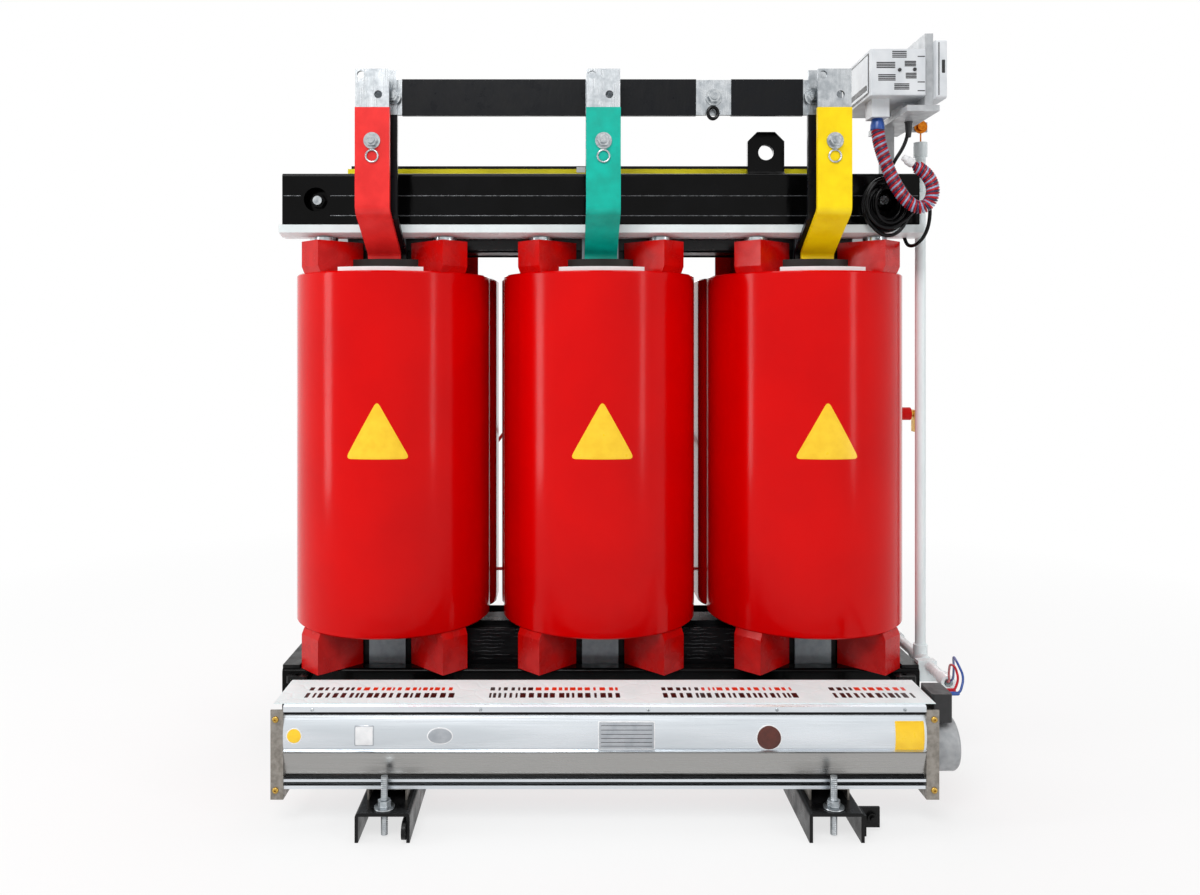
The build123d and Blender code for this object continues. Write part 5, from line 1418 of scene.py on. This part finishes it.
# ---------------------------------------------------------------- controller
@dataclass
class ControllerDress:
    """Cover, slits, pane and knobs of the temperature controller, and a coated ring."""

    front_y: float = -0.227
    left_x: float = 0.445
    cover: float = 0.0008
    vents: tuple[tuple[float, float, float, float], ...] = (
        (0.4806, 0.5049, 1.2012, 1.2106), (0.4545, 0.4858, 1.1838, 1.1922),
        (0.5014, 0.5205, 1.1866, 1.1940), (0.4573, 0.4864, 1.1630, 1.1717),
        (0.5031, 0.5215, 1.1665, 1.1742), (0.4840, 0.5094, 1.1480, 1.1564),
    )
    clips: tuple[float, ...] = (1.2023, 1.1597, 1.1452)
    knobs: tuple[tuple[float, float], ...] = ((0.4930, 1.1798), (0.5181, 1.1806))

    def build_front(self) -> None:
        """Folded cover with rows of dark slits in six fields, three clips and two knobs; the slits'
        black is painted shade for the vent openings.
        """
        cover_y = self.front_y - self.cover
        make_piece(
            "controller_front_cover",
            [plate(box_outline(0.0445, 0.0360, 0.0012), self.cover,
                   on_front(0.4915, self.front_y, 1.1755), 0.0003, 8)],
            ABS_GREY, Quality.FLAT,
        )
        slits = []
        for x0, x1, z0, z1 in self.vents:
            slit = box_outline((x1 - x0) / 2, 0.0009, 0.0007)
            for z in np.linspace(z0, z1, 4):
                slits.append(plate(slit, 0.0003, on_front((x0 + x1) / 2, cover_y, z), 0.0001, 2))
        clip = box_outline(0.0062, 0.0008, 0.0005)
        slits += [plate(clip, 0.0003, on_front(0.5292, cover_y, z), 0.0001, 2) for z in self.clips]
        # Painted shade: the black slit plates stand in for the dark inside the vent openings.
        make_piece("controller_vent_slits", slits, BLACK_PLASTIC_AND_SLOT_SHADE, Quality.FLAT)
        knob = ((0.0, 0.0), (0.0030, 0.0), (0.0030, 0.0018), (0.0024, 0.0026), (0.0, 0.0026))
        make_piece(
            "controller_knobs",
            [lathe(knob, (x, cover_y, z), (0.0, -1.0, 0.0), 20) for x, z in self.knobs],
            BLACK_PLASTIC_AND_SLOT_SHADE,
        )

    def build_side(self) -> None:
        """Dark rim and a smoked pane with a strip of keys, on the left side."""

        def on_left(u: Array, v: Array, height: Array) -> Array:
            """x = left - height, y = middle + u, z = level + v."""
            return np.stack([self.left_x - height, -0.1445 + u, 1.1765 + v], axis=-1)

        def keys(u: Array, v: Array, height: Array) -> Array:
            """The same, lower and nearer the front."""
            return on_left(u - 0.004, v - 0.0215, height)

        layers = (
            ("rim", (0.0735, 0.0345, 0.003), 0.0004, on_left, 0.0001, BLACK_PLASTIC_AND_SLOT_SHADE),
            ("pane", (0.0705, 0.0315, 0.002), 0.0009, on_left, 0.0003, SMOKED_PANE),
            ("keys", (0.0600, 0.0045, 0.002), 0.0014, keys, 0.0003, BLACK_PLASTIC_AND_SLOT_SHADE),
        )
        for name, size, height, place, edge, finish in layers:
            panel = plate(box_outline(*size), height, place, edge, 6)
            make_piece(f"controller_side_{name}", [panel], finish, Quality.FLAT)

    def build_bezel(self) -> None:
        """A seam line and a slot on the bezel's front; the slot's black is painted shade for the
        opening.
        """
        low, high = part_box("controller_bezel")
        middle_x, level = (low.x + high.x) / 2, (low.z + high.z) / 2
        make_piece(
            "controller_bezel_lines",
            [plate(box_outline(0.0008, 0.0440, 0.0005), 0.0003,
                   on_front(middle_x - 0.0045, low.y, level), 0.0001, 3),
             # Painted shade: this black plate stands in for the dark inside the bezel's slot.
             plate(box_outline(0.0026, 0.0110, 0.0012), 0.0004,
                   on_front(middle_x + 0.0030, low.y, level + 0.004), 0.0001, 3)],
            BLACK_PLASTIC_AND_SLOT_SHADE, Quality.FLAT,
        )

    def build(self) -> None:
        """Dress the front, the left side and the bezel, and hang the coated eye."""
        self.build_front()
        self.build_side()
        self.build_bezel()
        turn = np.linspace(0, 2 * np.pi, 41)
        ring = np.stack([0.1875 + 0.0085 * np.cos(turn), np.full_like(turn, -0.1925),
                         1.1165 + 0.0100 * np.sin(turn)], axis=1)
        make_piece("neutral_lug_coated_eye", [tube(ring, 0.0030, (0.0, 1.0, 0.0), 10)],
                   CABLE_RUBBER_AND_GAP_SHADE)


# ---------------------------------------------------------------- studio
@dataclass
class Studio:
    """Camera, plain lamps, and a white floor that keeps the shadow."""

    camera_place: Place = (-0.0676, -1.827, 0.7265)
    lens: float = 28.8
    shift: tuple[float, float] = (0.0308, -0.0879)
    world_strength: float = 0.40
    floor_half: float = 14.0
    floor_tone: float = 0.86
    plain_from: float = 0.7
    plain_to: float = 2.2
    plain_near: float = 0.72
    lamps: tuple[tuple[str, Place, Place, tuple[float, float], float], ...] = (
        ("high_front", (-0.7, -2.7, 3.0), (0.0, -0.1, 0.6), (1.8, 1.2), 62.0),
        ("left_strip", (-3.0, -0.9, 1.2), (-0.1, -0.1, 0.6), (0.5, 2.4), 26.0),
        ("right_strip", (2.3, -2.0, 1.2), (0.1, -0.1, 0.6), (0.28, 2.2), 11.0),
        ("top", (0.0, 0.3, 3.0), (0.0, 0.0, 0.5), (2.4, 1.6), 24.0),
        ("back", (0.3, 2.6, 1.9), (0.0, 0.0, 0.7), (2.4, 1.6), 24.0),
    )

    def build_camera(self) -> None:
        """A level camera with a vertical picture plane."""
        data = bpy.data.cameras.new("camera")
        data.lens = self.lens
        data.sensor_width = 36.0
        data.shift_x, data.shift_y = self.shift
        data.clip_start = 0.02
        data.clip_end = 60.0
        camera = bpy.data.objects.new("camera", data)
        camera.location = self.camera_place
        camera.rotation_euler = (math.radians(90), 0.0, 0.0)
        bpy.context.scene.collection.objects.link(camera)
        bpy.context.scene.camera = camera
        bpy.context.scene.view_settings.view_transform = "Standard"

    def seen_plainly(self, tree: bpy.types.NodeTree) -> Any:
        """1 for rays from the camera, and for those seen in metal or glass."""
        path = add_node(tree, "LightPath").outputs
        first = add_node(
            tree, "Math", {"operation": "MAXIMUM"},
            {0: path["Is Camera Ray"], 1: path["Is Glossy Ray"]},
        ).outputs["Value"]
        return add_node(
            tree, "Math", {"operation": "MAXIMUM"},
            {0: first, 1: path["Is Transmission Ray"]},
        ).outputs["Value"]

    def build_world(self) -> None:
        """A plain pale world, shown white where it is seen."""
        world = bpy.data.worlds.new("studio")
        bpy.context.scene.world = world
        world.use_nodes = True
        tree = world.node_tree
        tree.nodes.clear()
        soft = add_node(tree, "Background", None,
                        {"Color": (1, 1, 1, 1), "Strength": self.world_strength})
        plain = add_node(tree, "Background", None,
                         {"Color": (1, 1, 1, 1), "Strength": 1.0})
        mix = add_node(tree, "MixShader", None,
                       {0: self.seen_plainly(tree), 1: soft.outputs[0], 2: plain.outputs[0]})
        add_node(tree, "OutputWorld", None, {"Surface": mix.outputs[0]})

    def lamp(self, name: str, place: Sequence[float], aim: Sequence[float],
             size: tuple[float, float], power: float) -> None:
        """A soft rectangular lamp.

        Args:
            name: its name.
            place: where it stands.
            aim: the point that it faces.
            size: width and height.
            power: in watts.
        """
        data = bpy.data.lights.new(name, "AREA")
        data.shape = "RECTANGLE"
        data.size, data.size_y = size
        data.energy = power
        lamp = bpy.data.objects.new(name, data)
        lamp.location = place
        way = np.asarray(aim, float) - np.asarray(place, float)
        lamp.rotation_euler = (
            math.acos(-way[2] / np.linalg.norm(way)), 0.0, math.atan2(way[1], way[0]) - math.pi / 2
        )
        bpy.context.scene.collection.objects.link(lamp)

    def build_floor(self) -> None:
        """A wide pale floor: lit near the object, plain white to the camera further out."""
        material = bpy.data.materials.new("studio_floor")
        material.use_nodes = True
        tree = material.node_tree
        tree.nodes.clear()
        tone = self.floor_tone
        matt = add_node(tree, "BsdfDiffuse", None, {"Color": (tone, tone, tone, 1)})
        plain = add_node(tree, "Emission", None, {"Color": (1, 1, 1, 1), "Strength": 1.0})
        coords = add_node(tree, "TexCoord").outputs["Object"]
        distance = add_node(tree, "VectorMath", {"operation": "LENGTH"},
                            {0: coords}).outputs["Value"]
        plainness = add_node(
            tree, "MapRange", None,
            {"Value": distance, "From Min": self.plain_from, "From Max": self.plain_to,
             "To Min": self.plain_near, "To Max": 1.0},
        ).outputs["Result"]
        share = add_node(tree, "Math", {"operation": "MULTIPLY"},
                         {0: self.seen_plainly(tree), 1: plainness}).outputs["Value"]
        mix = add_node(tree, "MixShader", None,
                       {0: share, 1: matt.outputs[0], 2: plain.outputs[0]})
        add_node(tree, "OutputMaterial", None, {"Surface": mix.outputs[0]})
        half = self.floor_half
        corners = np.array([(-half, -half, 0), (half, -half, 0), (half, half, 0), (-half, half, 0)])
        floor = add_object("studio_floor", corners, [[0, 1, 2, 3]])
        floor.data.materials.append(material)
        floor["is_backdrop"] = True

    def build(self) -> None:
        """World, floor and lamps."""
        self.build_world()
        self.build_floor()
        for settings in self.lamps:
            self.lamp(*settings)


# ---------------------------------------------------------------- all of it
def dress_nodes(nodes: dict[str, bpy.types.Object]) -> None:
    """Give every CAD node its finish.

    Args:
        nodes: the frame's nodes by name.
    """
    for name, node in nodes.items():
        material = NODE_FINISH[name].build()
        node.data.materials.clear()
        node.data.materials.append(material)
        LOG.info("%s: %s", name, material.name)


def write_sizes(cad: Any, visual: Any) -> None:
    """Turn the CAD box and the visual model's box into plain lists; nothing is written.

    Args:
        cad: bounds straight after loading.
        visual: bounds of the dressed model.
    """
    plain = [[[float(c) for c in corner] for corner in box] for box in (cad, visual)]


def main() -> None:
    """Build the camera and cords first, then each sub-assembly's dress and the studio."""
    logging.basicConfig(level=logging.INFO, format="%(name)s: %(message)s")
    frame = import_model()
    cad_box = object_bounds()
    studio = Studio()
    studio.build_camera()
    CurlySensorCord().build()
    ControllerCable().build()
    dress_nodes(frame["nodes"])
    LeadDress().build(frame["nodes"]["fan_leads"])
    CoilDress().build()
    clamps = ClampDress()
    clamps.darken_nuts(frame["nodes"]["clamp_studs"])
    clamps.build()
    FanDress().build()
    ControllerDress().build()
    studio.build()
    write_sizes(cad_box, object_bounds())


if __name__ == "__main__":
    main()
